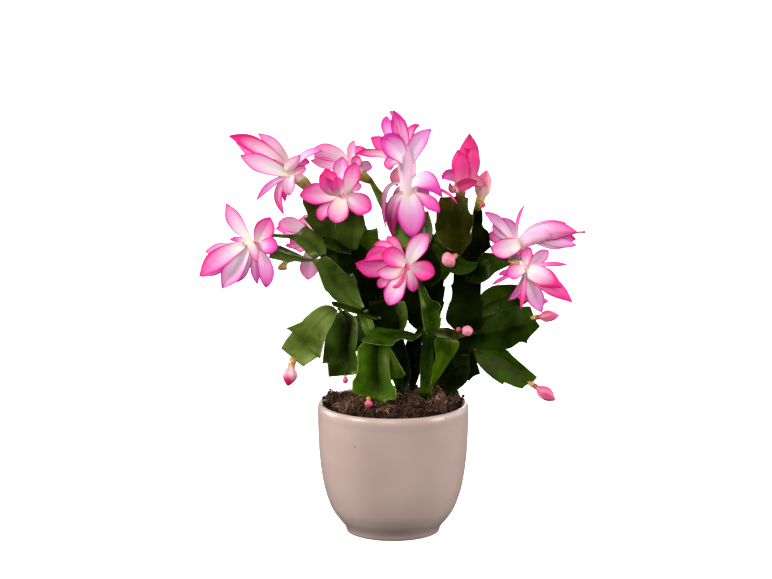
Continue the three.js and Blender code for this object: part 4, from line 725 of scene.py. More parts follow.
STEM_RIGHT = [
    Grown((41, 3, 98), (41, 4, 110), (46, 5, 128), 22, 5, 0.1, 1, "dark"),
    Edged((52, 5, 142), (51.5, 5, 124), 4, 8, 0.1, "dark", [(58, 142), (58, 139.2), (59, 132.7),
          (57.5, 123.6), (60.7, 111.3, 1), (56.1, 109.5), (53.1, 106.5)], [(44, 142), (41, 132), (42, 120),
          (46, 108)]),
    Grown((45, 5, 122), (49, 6, 134), (51, 6, 146), 18, 0, 0.1, 0, "dark"),
    Edged((51, 6, 142), (50, 7, 162), 6, 25, -0.35, "dark", [(42, 143), (36.7, 149.8), (38.4, 159.5),
          (40.2, 163.9), (41, 169.2), (40, 174.5, 1), (41.5, 175.8), (42, 184)], [(60, 143), (62.3, 147.8),
          (61.5, 155.8), (62.8, 163, 1), (60.8, 165), (61, 178), (60.5, 186)], rib=0.15),
    Edged((55, 6, 141), (75, 1, 144.5), -2, 8, -0.12, "deep", [(57, 148), (64, 151.8), (74.8, 156.4),
          (82.7, 158.9), (95, 159.5, 1), (98, 150.5)], [(56, 133), (60, 128.9), (71.9, 128.7), (80.8, 129.5),
          (88, 134), (92.8, 133, 1), (93.8, 136.5), (101.7, 145.3, 1)]),
    Edged((53, 6, 151), (73, 9, 162), 12, 10, 0.12, "deep", [(57, 160), (61.3, 168.4), (68.6, 173.6),
          (76.4, 174.7), (86, 174.5), (92, 171)], [(58, 150), (66, 152), (78, 156), (88, 159), (94, 163)]),
    Edged((56, 5, 129), (75, 0, 116.5), -5, 22, -0.2, "matt", [(57, 131), (71.9, 129.5), (78.8, 128.5),
          (82.7, 124.6), (91.6, 116.6), (99.8, 109.5, 1)], [(56, 126), (59.6, 117.6), (68.9, 108.5),
          (76.3, 103.7, 1), (76.8, 105.5), (84, 102.5), (89.6, 101, 1), (92.6, 104), (97, 106)], rib=-0.45),
    Edged((52, 6, 180), (56.5, 5, 197), 4, -10, 0.12, "dark", [(46, 182), (46, 196), (50.5, 203), (54, 212),
          (55, 218)], [(60, 183), (61.5, 190), (62, 195.5), (65.2, 199.2), (68.2, 201.5, 1), (67, 204),
          (66, 211.5), (62.6, 215), (61, 218.5)]),
    Grown((58, 4, 211), (58.3, 4, 221), (58, 4, 230), 7, 0, 0.1, 0, "dark"),
    Edged((52, 6, 178), (66, 1, 185.5), -2, 20, 0.2, "deep", [(50, 180), (56, 188), (61, 196), (64, 197.5, 1),
          (72, 196.5), (78, 194), (82, 192)], [(50, 177), (57.4, 175.4), (61.7, 176.3), (66, 179),
          (70.4, 183.3), (75.5, 186), (81, 189)], rib=-0.3),
]
STEM_LEFT = [
    Grown((7, 3, 98), (8, 3, 116), (3, 3, 141), 13, 50, 0.1, 0, "dark"),
    Grown((3, 3, 138), (-5, 1, 150), (-10, -2, 164), 18, 8, 0.15, 1, "dark"),
    Edged((-9, -2, 151), (-26, -8, 157), -13, -68, 0.1, "deep", [(-11.4, 150.3), (-21.8, 153.3),
          (-31.7, 156.4), (-41.5, 160.4)], [(-9.5, 151), (-21.8, 157.9), (-33.6, 161.9), (-42.5, 162.9)]),
    Edged((-36, -12, 157), (-36, -16, 134), -17, 0, 0.3, "grey_channel", [(-33, 157), (-29.7, 154.8),
          (-25.7, 151.3), (-24.6, 145.8), (-25, 133.7), (-25.7, 127.7), (-23, 117.6), (-24.8, 112.5),
          (-27.7, 111.5)], [(-38.1, 155.3), (-41.5, 150.8), (-45.5, 140.7), (-46.9, 135.7), (-47.9, 127.7),
          (-48.9, 119.1, 1), (-45.5, 119.8), (-44.5, 110, 1)], rib=-0.4),
    Edged((-37, -12, 158), (-54, -16, 142), -15, -12, 0.2, "faded", [(-38.1, 156), (-42, 147), (-46, 139.2),
          (-50.2, 122.6, 1), (-51.9, 123.8), (-62, 117.1, 1)], [(-40, 158.5), (-43, 160.2), (-48, 160.4),
          (-54, 157.5), (-62, 150.7, 1), (-63, 149), (-74, 144, 1), (-69.5, 142.5), (-74.3, 135.5),
          (-77.3, 130, 1)], rib=0.1),
    Edged((-18, -5.5, 156), (-36, -9, 177), -14, -14, 0.05, "grey", [(-22, 157.5), (-38.5, 163),
          (-45.2, 169.7, 1), (-46.5, 170.5), (-48.7, 175.4), (-52.1, 185.1), (-55.5, 191)], [(-19.5, 159),
          (-21.9, 163.9), (-24.5, 172.8), (-25.4, 178), (-28, 183, 1), (-29.5, 181.8), (-33.1, 183.5),
          (-40, 190.4), (-46, 195.3)], rib=-0.15),
    Edged((-50.5, -14, 191), (-70, -16, 195.5), -19, -52, 0.1, "moss", [(-54, 191.5), (-62.5, 190.8),
          (-67.6, 191.3), (-72.8, 189.7, 1), (-74, 191), (-84.9, 193.7)], [(-53, 193), (-56, 192.8),
          (-62.5, 195.2), (-65.9, 197), (-78, 202.3), (-84, 203)]),
    Edged((-50, -14, 195), (-60, -12, 206), -9, -52, -0.3, "moss", [(-54, 193), (-57.5, 195.2), (-65, 202.7),
          (-71, 207.1), (-84, 208.6)], [(-46, 196.5), (-46.9, 204.5), (-53.8, 211.5), (-59.9, 216.4, 1),
          (-62.5, 214.5), (-64.2, 211.5), (-68.5, 209.8), (-84, 210.4)], rib=-0.3),
    Grown((-21, -6.5, 156), (-18, -5, 147), (-15.5, -3, 139), 9, 20, 0.1, 0, "pale"),
    Grown((3, 3, 139), (5, 3, 150), (4.5, 2, 163), 10, 0, 0.1, 0, "grey"),
]
STEM_REAR_LEFT = [
    Grown((3.5, 13, 99.5), (3, 13, 118), (-3, 12, 143), 13, -25, 0.1, 0, "deep"),
    Grown((-2, 12, 139), (-9, 13, 154), (-14, 12, 170), 24, 0, 0.1, 1, "dark"),
    Grown((-12, 12, 163), (-20, 11, 181), (-31, 9, 200), 27, 10, 0.15, 1.4, "dark"),
    Edged((-30, 9, 196), (-31, 5, 213), 2, 8, 0.12, "moss", [(-33, 200), (-35.7, 205.3), (-39.2, 212.4),
          (-40, 219), (-36, 227)], [(-25, 199), (-21.9, 208), (-19.3, 212.4), (-17.6, 214.2, 1),
          (-18.9, 216.8), (-20.2, 223), (-23, 230)]),
    Edged((-32, 9, 198), (-47.5, 7, 218), 6, -10, 0.12, "moss", [(-44, 199), (-48.7, 205.3), (-53.8, 211.5),
          (-62, 221.6, 1), (-59, 222.5), (-59.9, 226.5), (-62.5, 233.5), (-60, 243)], [(-33, 200), (-35, 208),
          (-37.5, 216.8), (-44, 224.5), (-50, 235), (-54, 244)]),
    Grown((-25, 10, 186), (-19, 10, 200), (-17, 10, 214.5), 17, 0, 0.1, 1.2, "mid"),
    Grown((-29, 8, 197), (-40, 2, 202), (-49, -2, 206), 10, -48, 0.1, 0, "deep"),
    Grown((-27, 11, 192), (-38, 12, 196), (-49, 12, 199), 15, 0, 0.1, 0.8, "deep"),
]
STEM_REAR = [
    Grown((14, 20, 101), (13.5, 18, 119), (15.5, 16, 138), 13, 10, 0.1, 0, "dark"),
    Grown((14.5, 16, 131), (19, 17, 138), (25, 18, 146), 9, 0, 0.1, 0, "dark"),
    Grown((24, 18, 139), (15, 18, 160), (11, 18, 184), 19, 10, 0.1, 1.2, "dark"),
    Grown((24, 18, 141), (28, 17, 162), (29, 17, 184), 14, 0, 0.1, 1.2, "dark"),
    Grown((24, 18, 139), (25, 30, 152), (26, 40, 170), 19, 160, 0.2, 1.2, "mid"),
    Grown((26, 39, 165), (29, 42, 186), (42, 38, 206), 23, 165, 0.15, 2, "mid"),
    Grown((28, 17, 180), (33, 22, 196), (41, 26, 213), 22, 170, 0.15, 2, "mid"),
    Grown((11, 18, 180), (6, 24, 194), (9, 29, 210), 22, 190, 0.15, 2, "mid"),
    Grown((22, 18, 139), (44, 36, 131), (66, 50, 124), 20, 200, -0.2, 2, "mid"),
    Grown((25, 18, 143), (29, 20, 124), (29, 19, 105), 12, 0, 0.1, 0.8, "dark"),
]
STEM_REAR_LOW = [
    Grown((-10, 17, 100.5), (-11, 20, 115), (-12, 22, 133), 14, 160, 0.1, 0, "mid"),
    Grown((-12, 22, 130), (-14, 36, 146), (-16, 46, 160), 24, 180, 0.25, 2, "mid"),
    Grown((-15, 44, 156), (-14, 56, 150), (-13, 64, 136), 24, 180, -0.2, 2.4, "mid"),
    Grown((-16, 44, 157), (-28, 46, 172), (-36, 42, 190), 24, 190, 0.2, 2, "mid"),
    Grown((-15, 44, 157), (-6, 46, 172), (0, 42, 192), 24, 170, 0.2, 2, "mid"),
    Grown((-12, 22, 129), (-30, 30, 137), (-46, 36, 142), 22, 205, 0.2, 2, "mid"),
]

# A root is (across, depth, half width, half depth).
STEMS = {
    "stem_main": {"root": (22, -4, 4.2, 2.6), "leaves": STEM_MAIN},
    "stem_right": {"root": (41, 3, 4.6, 2.6), "leaves": STEM_RIGHT},
    "stem_left": {"root": (6.5, 3, 3.4, 2.6), "leaves": STEM_LEFT},
    "stem_rear_left": {"root": (3.5, 13, 3.4, 2.6), "leaves": STEM_REAR_LEFT},
    "stem_rear": {"root": (14, 20, 3.6, 2.6), "leaves": STEM_REAR},
    "stem_rear_low": {"root": (-10, 17, 3.6, 2.6), "leaves": STEM_REAR_LOW},
}


# ---------------------------------------------------------------- mesh building
MARKS = ("along", "across", "seed")
# rings and sides of the tubes
OVARY_MESH = (12, 16)
THROAT_MESH = (28, 20)
PISTIL_MESH = (16, 8)
BUD_MESH = (26, 24)
STRAND_MESH = (8, 4)
ROOT_MESH = (12, 20)


class Skin:
    """Collects closed shells, in millimetres, and makes one object of them."""

    def __init__(self, name):
        self.name = name
        self.points = []
        self.faces = []
        self.kinds = []
        self.kind_names = []
        self.marks = {mark: [] for mark in MARKS}
        self.count = 0

    def add(self, points, faces, kind, along, across, seed):
        """One shell: its points, its faces and, for each point, its marks."""
        if kind not in self.kind_names:
            self.kind_names.append(kind)
        points = np.asarray(points, float).reshape(-1, 3)
        self.points.append(points)
        self.faces.extend([tuple(int(k) + self.count for k in face) for face in faces])
        self.kinds.extend([self.kind_names.index(kind)] * len(faces))
        for mark, values in zip(MARKS, (along, across, seed)):
            self.marks[mark].append(np.broadcast_to(np.asarray(values, float).reshape(-1), len(points)))
        self.count += len(points)

    def finish(self, slot, *nodes):
        mesh = bpy.data.meshes.new(self.name)
        mesh.from_pydata((np.concatenate(self.points) * MM).tolist(), [], self.faces)
        for kind in self.kind_names:
            mesh.materials.append(materials[kind])
        mesh.polygons.foreach_set("material_index", self.kinds)
        mesh.polygons.foreach_set("use_smooth", [True] * len(mesh.polygons))
        for mark in MARKS:
            layer = mesh.attributes.new(mark, "FLOAT", "POINT")
            layer.data.foreach_set("value", np.concatenate(self.marks[mark]).astype(np.float32))
        mesh.update()
        piece = bpy.data.objects.new(self.name, mesh)
        bpy.context.scene.collection.objects.link(piece)
        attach(piece, "root")
        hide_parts(*nodes)


def place(spot):
    across, depth, height = spot
    return np.array([across, depth, height - LEAN * depth], float)


def unit(vectors):
    return vectors / np.maximum(np.linalg.norm(vectors, axis=-1, keepdims=True), 1e-9)


def arc(start, through, end, t):
    """Values on the curve from start to end that passes through the middle one."""
    pull = 2 * through - (start + end) / 2
    return (1 - t) ** 2 * start + 2 * t * (1 - t) * pull + t ** 2 * end


def frames_along(points):
    """Forward, side and face at each point; the middle one faces the front."""
    forward = unit(np.gradient(points, axis=0))
    face = np.zeros_like(points)
    middle = len(points) // 2

    def carried(earlier, ahead):
        return unit(earlier - ahead * earlier.dot(ahead))

    face[middle] = carried(FRONT, forward[middle])
    for i in range(middle + 1, len(points)):
        face[i] = carried(face[i - 1], forward[i])
    for i in range(middle - 1, -1, -1):
        face[i] = carried(face[i + 1], forward[i])
    return forward, np.cross(forward, face), face


def blade_frames(start, through, end, turn, t):
    """The places along a leaf or petal, with forward, side and face turned by its turn."""
    points = arc(place(start), place(through), place(end), t[:, None])
    forward, side, face = frames_along(points)
    c, s = math.cos(math.radians(turn)), math.sin(math.radians(turn))
    return points, forward, side * c + face * s, face * c - side * s


def blade(skin, grid, thickness, kind, along, across, seed):
    """Closes a grid of places, (rows, columns), into a thin shell."""
    rows, columns = grid.shape[:2]
    normal = unit(np.cross(np.gradient(grid, axis=1), np.gradient(grid, axis=0)))
    front = grid + normal * thickness[..., None]
    back = grid - normal * thickness[..., None]
    points = np.concatenate([front.reshape(-1, 3), back.reshape(-1, 3)])
    f = np.arange(rows * columns).reshape(rows, columns)
    b = f + rows * columns
    parts = [
        (f[:-1, :-1], f[:-1, 1:], f[1:, 1:], f[1:, :-1]),
        (b[:-1, :-1], b[1:, :-1], b[1:, 1:], b[:-1, 1:]),
        (f[:-1, 0], f[1:, 0], b[1:, 0], b[:-1, 0]),
        (f[1:, -1], f[:-1, -1], b[:-1, -1], b[1:, -1]),
        (f[0, 1:], f[0, :-1], b[0, :-1], b[0, 1:]),
        (f[-1, :-1], f[-1, 1:], b[-1, 1:], b[-1, :-1]),
    ]
    faces = np.concatenate([np.stack([corner.ravel() for corner in part], 1) for part in parts])

    def both(values):
        return np.tile(np.broadcast_to(values, (rows, columns)).ravel(), 2)

    skin.add(points, faces, kind, both(along), both(across), seed)


def smooth_path(knots, count):
    """A Catmull-Rom curve through knots of any width, at evenly spread places."""
    knots = np.asarray(knots, float)
    padded = np.vstack([2 * knots[0] - knots[1], knots, 2 * knots[-1] - knots[-2]])
    length = np.concatenate([[0], np.cumsum(np.linalg.norm(np.diff(knots, axis=0), axis=1))])
    result = []
    for s in np.linspace(0, length[-1], count):
        i = min(int(np.searchsorted(length, s, "right")) - 1, len(knots) - 2)
        u = (s - length[i]) / max(length[i + 1] - length[i], 1e-9)
        a, b, c, d = padded[i:i + 4]
        result.append(0.5 * (2 * b + (c - a) * u + (2 * a - 5 * b + 4 * c - d) * u ** 2
                             + (3 * b - a - 3 * c + d) * u ** 3))
    return np.array(result)


def ring_turns(sides):
    return np.arange(sides) * FULL_TURN / sides


def ring_faces(count, sides):
    """The faces of a closed tube of so many rings, each of so many points."""
    ring = np.arange(count * sides).reshape(count, sides)
    beside = np.roll(ring, -1, axis=1)
    quads = np.stack([ring[:-1], beside[:-1], beside[1:], ring[1:]], -1).reshape(-1, 4)
    return [*map(tuple, quads), tuple(ring[0][::-1]), tuple(ring[-1])]


def tube(skin, points, radii, sides, kind, seed, ridges=0, ridge=0.0, twist=0.0):
    """A closed tube; ridges and ridge give it low lengthwise swellings."""
    count = len(points)
    _, side, face = frames_along(points)
    turns = ring_turns(sides)
    t = np.linspace(0, 1, count)[:, None]
    wave = 0.5 + 0.5 * np.cos(ridges * (turns[None, :] + twist * t))
    swell = np.asarray(radii)[:, None] * (1 + ridge * (wave - 0.5) * np.sin(math.pi * t) ** 0.5)
    swell = np.broadcast_to(swell, (count, sides))
    rings = (points[:, None] + side[:, None] * (swell * np.cos(turns))[..., None]
             - face[:, None] * (swell * np.sin(turns))[..., None])
    wave = np.broadcast_to(wave, (count, sides))
    skin.add(rings, ring_faces(count, sides), kind, np.repeat(t.ravel(), sides), wave, seed)


def lump(skin, centre, radii, kind, seed, rough=0.25):
    """A small uneven ball."""
    points = [np.array([0, 0, -1.0])]
    for level in math.pi * np.arange(1, BALL_RINGS) / BALL_RINGS:
        for turn in ring_turns(BALL_SIDES):
            out = math.sin(level)
            points.append(np.array([out * math.cos(turn), out * math.sin(turn), -math.cos(level)]))
    points.append(np.array([0, 0, 1.0]))
    swells = [1 + rough * noise.noise(Vector(p * 1.7 + seed * 11.3)) for p in points]
    shaped = [np.asarray(centre) + p * np.asarray(radii) * swell for p, swell in zip(points, swells)]
    skin.add(shaped, BALL_FACES, kind, 0.5, 0.5, seed)


def ball_faces(rings, sides):
    """The faces of a ball: two points, and rings of so many sides between them."""
    def at(i, k):
        return 1 + (i - 1) * sides + k % sides

    faces = [(0, at(1, k + 1), at(1, k)) for k in range(sides)]
    for i in range(1, rings - 1):
        faces += [(at(i, k), at(i, k + 1), at(i + 1, k + 1), at(i + 1, k)) for k in range(sides)]
    top = at(rings, 0)
    return faces + [(at(rings - 1, k), at(rings - 1, k + 1), top) for k in range(sides)]


BALL_RINGS, BALL_SIDES = 6, 9
BALL_FACES = ball_faces(BALL_RINGS, BALL_SIDES)


# ---------------------------------------------------------------- leaves
LEAF_ROWS = 44
# half the thickness of the blade at its rib and its rim, and the rib's height and width
RIB, RIM = 1.0, 0.42
RIDGE_HEIGHT, RIDGE_WIDTH = 0.25, 1.4
CORK_SIZE = (1.3, 1.2, 1.0)
COLUMNS = np.array([-1, -.975, -.92, -.8, -.62, -.42, -.24, -.12, -.05, 0,
                    .05, .12, .24, .42, .62, .8, .92, .975, 1])
TOOTH_AT = (0.27, 0.52, 0.76)
TOOTH_STEP = 0.022
# the least width of a leaf with a corky joint, and how often an edge is smoothed
SLIM = 10
CALMING = 16


def edge_curve(points):
    """A leaf's edge: smooth through its points, with corners at those marked with a 1."""
    flat = np.array([point[:2] for point in points], float)
    marked = [i for i, point in enumerate(points) if len(point) > 2]
    corners = sorted({0, *marked, len(points) - 1})
    spans = [flat[a:b + 1] for a, b in zip(corners, corners[1:])]
    lengths = np.array([np.linalg.norm(np.diff(span, axis=0), axis=1).sum() for span in spans])
    shares = np.maximum(1, np.round(lengths / lengths.sum() * LEAF_ROWS)).astype(int)
    while shares.sum() != LEAF_ROWS:
        shares[np.argmax(shares)] += 1 if shares.sum() < LEAF_ROWS else -1
    pieces = [smooth_path(span, share + 1) for span, share in zip(spans, shares)]
    return np.vstack([pieces[0], *[piece[1:] for piece in pieces[1:]]])


def calmed(edge):
    """The edge without its teeth, for the inner part of the blade."""
    result = edge.copy()
    for _ in range(CALMING):
        result[1:-1] = (result[:-2] + 2 * result[1:-1] + result[2:]) / 4
    return result


def relief(rows, columns, rib, half):
    """Across from the rib, -1 to 1, and half the thickness there."""
    f = np.broadcast_to(columns, (rows, len(columns)))
    from_rib = np.where(f > rib, (f - rib) / (1 - rib), (f - rib) / (1 + rib))
    body = RIM + (RIB - RIM) * (1 - np.abs(from_rib)) ** 1.6
    ridge = RIDGE_HEIGHT * np.exp(-((from_rib * half[:, None] / RIDGE_WIDTH) ** 2))
    rim = np.where(np.abs(f) > 0.99, 0.35, np.where(np.abs(f) > 0.97, 0.8, 1.0))
    ends = np.ones(rows)
    ends[0], ends[-1], ends[-2] = 0.6, 0.4, 0.8
    return from_rib, (body + ridge) * rim * ends[:, None]


def curled(from_rib, half, fold):
    return np.abs(from_rib) ** 1.35 * half[:, None] * fold


def waved(from_rib, columns, t, seed, pace):
    """A slow wave along both edges, out of step with each other."""
    return np.sin(t[:, None] * pace + seed * 5 + (columns > 0)[None, :] * 2) * np.abs(from_rib) ** 3


def edged_leaf(skin, leaf, seed):
    """A leaf whose two edges are given, on sheets that lean back."""
    left, right = edge_curve(leaf.left), edge_curve(leaf.right)
    columns = COLUMNS + leaf.rib * (1 - np.abs(COLUMNS)) * 0.999
    half = np.linalg.norm(right - left, axis=1) / 2
    t = np.linspace(0, 1, LEAF_ROWS + 1)
    from_rib, thickness = relief(len(t), columns, leaf.rib, half)
    calm_left, calm_right = calmed(left), calmed(right)
    flat = calm_left[:, None] + (calm_right - calm_left)[:, None] * ((columns + 1) / 2)[None, :, None]
    for edge, calm, outside in ((left, calm_left, columns < 0), (right, calm_right, columns > 0)):
        marginal = np.where(outside, np.abs(columns) ** 5, 0)
        flat = flat + marginal[None, :, None] * (edge - calm)[:, None]
    depths = arc(leaf.start[1], leaf.through[1], leaf.end_depth, t)
    lean = math.tan(math.radians(leaf.turn)) * columns[None, :] * half[:, None]
    roll = leaf.roll * half[:, None] * np.abs(from_rib) ** 4
    wave = 0.35 * waved(from_rib, columns, t, seed, 9)
    depth = depths[:, None] - lean - curled(from_rib, half, leaf.fold) - wave + roll
    grid = np.stack([flat[..., 0], depth, flat[..., 1] - LEAN * depth], -1)
    blade(skin, grid, thickness, "leaf_" + leaf.tone, t[:, None], from_rib, seed)


def leaf_half(t):
    neck = 0.2 + 0.8 * np.sin(np.minimum(t / 0.5, 1) * math.pi / 2)
    shoulder = np.where(t < 0.6, 1, 1 - 0.38 * ((t - 0.6) / 0.4) ** 2)
    return neck * shoulder


def grown_leaf(skin, leaf, seed):
    """A leaf from its row alone: three pairs of teeth and a blunt end."""
    stations = list(np.linspace(0, 1, LEAF_ROWS - 5))
    for at in TOOTH_AT:
        stations += [at, at + TOOTH_STEP]
    t = np.array(sorted(stations))
    points, forward, side, face = blade_frames(leaf.start, leaf.through, leaf.end, leaf.turn, t)
    half = leaf.width / 2 * leaf_half(t)
    starts = np.array([0.0, *TOOTH_AT, 1.0])
    index = np.clip(np.searchsorted(starts, t + 1e-9, "right") - 1, 0, len(starts) - 2)
    done = (t - starts[index]) / (starts[index + 1] - starts[index])
    at_tooth = np.isin(t, TOOTH_AT)
    rise = np.where(at_tooth, 1.0, np.clip(done, 0, 1) ** 1.3 * 0.9)
    rise = np.where(index == 0, rise * 0.6 + 0.4 * at_tooth, rise)
    outward = leaf.tooth * (rise - 0.25) * (t > 0.02)
    ahead = leaf.tooth * 0.7 * rise ** 2
    marginal = np.abs(COLUMNS) ** 3
    from_rib, thickness = relief(len(t), COLUMNS, 0.0, half)
    reach = half[:, None] * COLUMNS + outward[:, None] * np.sign(COLUMNS) * marginal
    lift = curled(from_rib, half, leaf.fold) + 0.5 * waved(from_rib, COLUMNS, t, seed, 10)
    push = ahead[:, None] * marginal - (t[:, None] ** 8) * leaf.tooth * 0.8 * (1 - np.abs(COLUMNS) ** 2)
    grid = (points[:, None] + side[:, None] * reach[..., None] + face[:, None] * lift[..., None]
            + forward[:, None] * push[..., None])
    blade(skin, grid, thickness, "leaf_" + leaf.tone, t[:, None], from_rib, seed)


def stem_object(name, stem):
    skin = Skin(name + "_leaves")
    for i, leaf in enumerate(stem["leaves"]):
        seed = i * 0.37 + len(name) * 0.11
        edged = isinstance(leaf, Edged)
        (edged_leaf if edged else grown_leaf)(skin, leaf, seed)
        if i > 0 and (leaf.joint if edged else leaf.width > SLIM):
            base = place(leaf.start)
            toward = unit(place(leaf.through) - base)
            lump(skin, base + toward * 0.6, CORK_SIZE, "cork", seed)
    seats = []
    for bloom in BLOOMS.values():
        if bloom["stem"] == name:
            seats.append((*bloom["stalk"], bloom.get("ovary", "ovary")))
    for bud in BUD_ROWS.values():
        if bud[0] == name:
            seats.append((*bud[1:4], "ovary" if bud[7] == "bud_pale" else "bud_neck"))
    for k, (start, end, radius, kind) in enumerate(seats):
        ovary(skin, place(start), place(end), radius, kind, k * 0.7)
    root_post(skin, *stem["root"])
    skin.finish("segment_green", name)


def ovary(skin, start, end, radius, kind, seed):
    """The green swelling that carries a flower or a bud."""
    rings, sides = OVARY_MESH
    t = np.linspace(0, 1, rings)
    radii = radius * (0.5 + 0.5 * np.sin(t * math.pi * 0.62))
    tube(skin, start + (end - start) * t[:, None], radii, sides, kind, seed, 5, 0.10)


def root_post(skin, x, y, half_width, half_depth):
    """The woody foot of a stem, down in the soil."""
    rings, sides = ROOT_MESH
    heights = np.linspace(ROOT_LOW, ROOT_TOP, rings)
    points = np.stack([x + 0.15 * np.sin(heights * 0.5 + x), y + 0 * heights, heights], 1)
    turns = ring_turns(sides)
    rough = 1 - 0.06 * (1 + np.cos(turns * 6 + x))
    ring = np.stack([np.cos(turns) * half_width * rough, np.sin(turns) * half_depth * rough, 0 * turns], -1)
    along = np.repeat(np.linspace(0, 1, rings), sides)
    skin.add(points[:, None] + ring, ring_faces(rings, sides), "leaf_dark", along, 0.5, x)


# ---------------------------------------------------------------- flowers
PETAL_ROWS = 26
PETAL_COLUMNS = np.array([-1, -.96, -.86, -.68, -.45, -.22, 0, .22, .45, .68, .86, .96, 1])
# width of the foot and widest place of an open petal, and of one that wraps a throat
OPEN_SHAPE = (0.3, 0.62)
WRAPPED_SHAPE = (0.7, 0.5)
PETAL_RIB, PETAL_RIM = 0.34, 0.18
THINNEST = 0.12
STIGMA_SIZE = (1.3, 1.1, 1.1)


def petal_half(t, point, base, widest):
    spread = base + (1 - base) * np.sin(np.minimum(t / widest, 1) * math.pi / 2)
    beyond = np.clip((t - widest) / (1 - widest), 0, 1)
    return spread * (1 - beyond ** 1.7) ** (0.72 + 0.6 * point)


def petal(skin, row, seed):
    start, through, end, width, turn, cup, point, kind = row[:8]
    base, widest = row[8:] or (WRAPPED_SHAPE if cup < -0.25 else OPEN_SHAPE)
    s = np.linspace(0, 1, PETAL_ROWS)
    t = 0.35 * s + 0.65 * np.sin(s * math.pi / 2)
    points, _, side, face = blade_frames(start, through, end, turn, t)
    half = np.maximum(width / 2 * petal_half(t, point, base, widest), THINNEST)[:, None]
    f = PETAL_COLUMNS
    crease = 0.10 * half * np.exp(-(f / 0.16) ** 2) * np.sign(cup if cup else 1)
    sway = 0.05 * half * np.sin(t[:, None] * 7 + seed * 9 + (f > 0) * 1.7) * np.abs(f) ** 2.5
    lift = cup * half * np.abs(f) ** 1.8 - crease + sway
    grid = points[:, None] + side[:, None] * (half * f)[..., None] + face[:, None] * lift[..., None]
    across = PETAL_RIB + (PETAL_RIM - PETAL_RIB) * np.abs(f) ** 2
    across = across * np.where(np.abs(f) > 0.99, 0.3, 1.0)
    ends = np.where(s > 0.999, 0.4, 1.0)
    blade(skin, grid, ends[:, None] * across[None, :], kind, t[:, None], f, seed)


def seat_knots(start, end, radius, step):
    """Where a flower or bud starts: just clear of its stalk, and a step further."""
    start, end = place(start), place(end)
    out = unit(end - start)
    return [(*(end + out * CLEAR), radius), (*(end + out * (CLEAR + step)), radius)]


def placed(knots):
    return [(*place(spot), radius) for spot, radius in knots]


def bloom_object(name, bloom, slot):
    skin = Skin(name + "_petals")
    rings, sides = THROAT_MESH
    line = smooth_path(seat_knots(*bloom["stalk"], 1.2) + placed(bloom["throat"]), rings)
    tube(skin, line[:, :3], line[:, 3], sides, bloom.get("tube", "cream"), 0.3, 6, 0.06)
    for i, row in enumerate(bloom["petals"]):
        petal(skin, row, i * 0.61 + len(name) * 0.17)
    if "pistil" in bloom:
        rings, sides = PISTIL_MESH
        line = smooth_path(placed(bloom["pistil"]), rings)
        tube(skin, line[:, :3], line[:, 3] * 0.8, sides, "stigma", 0.2)
        lump(skin, line[-1, :3], STIGMA_SIZE, "stigma", 0.5, 0.4)
    skin.finish(slot, name)


def bud_object(name, bud):
    _, start, end, radius, tip, width, fullest, kind = bud
    skin = Skin(name + "_scales")
    rings, sides = BUD_MESH
    base, top = np.array(seat_knots(start, end, radius, 0)[0][:3]), place(tip)
    t = np.linspace(0, 1, rings)
    rising = t < fullest
    reach = np.where(rising, t / max(fullest, 1e-6), (1 - t) / (1 - fullest))
    fill = np.where(rising & (kind in ("bud_salmon", "bud_two_tone")), 1.25, 0.75)
    half = width / 2 * np.sin(np.clip(reach, 0, 1) * math.pi / 2) ** fill
    half = np.where(rising, np.maximum(half, radius), np.maximum(half, THINNEST))
    ridge = 0.05 if kind == "bud_round" else 0.13
    tube(skin, base + (top - base) * t[:, None], half, sides, kind, 0.4, 5, ridge, 1.2)
    skin.finish("bud_salmon", name)


# ---------------------------------------------------------------- pot
POT_LIP = 50.2
LIP_ROUND = 2.6
LIP_HEIGHT = 88.9
LIP_DROP = 2.4
POT_FOOT = [(0.5, 0.8), (24, 0.8), (26.5, 0.5), (27.5, 0.0), (30.4, 0.0)]
POT_OUTSIDE = [(31.2, 0), (32.3, 0.5), (32.7, 1.6), (33.0, 3.2), (34.8, 6), (39.7, 12), (44.1, 20),
               (48.3, 34), (50.9, 52), (51.9, 68), (52.15, 77), (52.2, 82), (52.4, 85.5)]
POT_INSIDE = [(47.6, 86), (47.4, 80), (46.2, 50), (43, 32), (38, 18), (30, 9), (0.5, 6)]
POT_SIDES = 144
LIP_STEPS = 26
SPECK_SIZE = (0.55, 0.18, 0.3)
POT_SPECKS = [(-26.6, -44.8, 70.8), (36, -38, 89.2)]


def pot_object():
    """The glazed pot: a smooth bowl on a small foot, with a rolled lip and two specks."""
    turns = np.radians(np.linspace(0, 175, LIP_STEPS))
    outer = turns < math.pi / 2
    drop = np.where(outer, LIP_DROP, 0)
    lip = np.stack([POT_LIP + np.where(outer, 2.2, LIP_ROUND - 0.3) * np.cos(turns),
                    LIP_HEIGHT - drop + (LIP_ROUND + drop) * np.sin(turns)], 1)
    profile = np.vstack([POT_FOOT, smooth_path(POT_OUTSIDE, 90), lip, smooth_path(POT_INSIDE, 24)])
    radii, heights = profile[:, :1], profile[:, 1:]
    turns = ring_turns(POT_SIDES)
    uneven = 1 + 0.0016 * np.cos(2 * turns + 0.7) + 0.0009 * np.cos(3 * turns)
    radius = radii * np.where(heights > 4, uneven[None, :], 1.0)
    heights = np.broadcast_to(heights, radius.shape)
    points = np.stack([radius * np.cos(turns), radius * np.sin(turns), heights], -1)
    skin = Skin("glazed_pot")
    skin.add(points, ring_faces(*radius.shape), "glaze", heights / LIP_HEIGHT, 0.0, 0.0)
    for x, y, z in POT_SPECKS:
        lump(skin, (x, y, z), SPECK_SIZE, "peat", x)
    skin.finish("pot_ceramic", "pot")


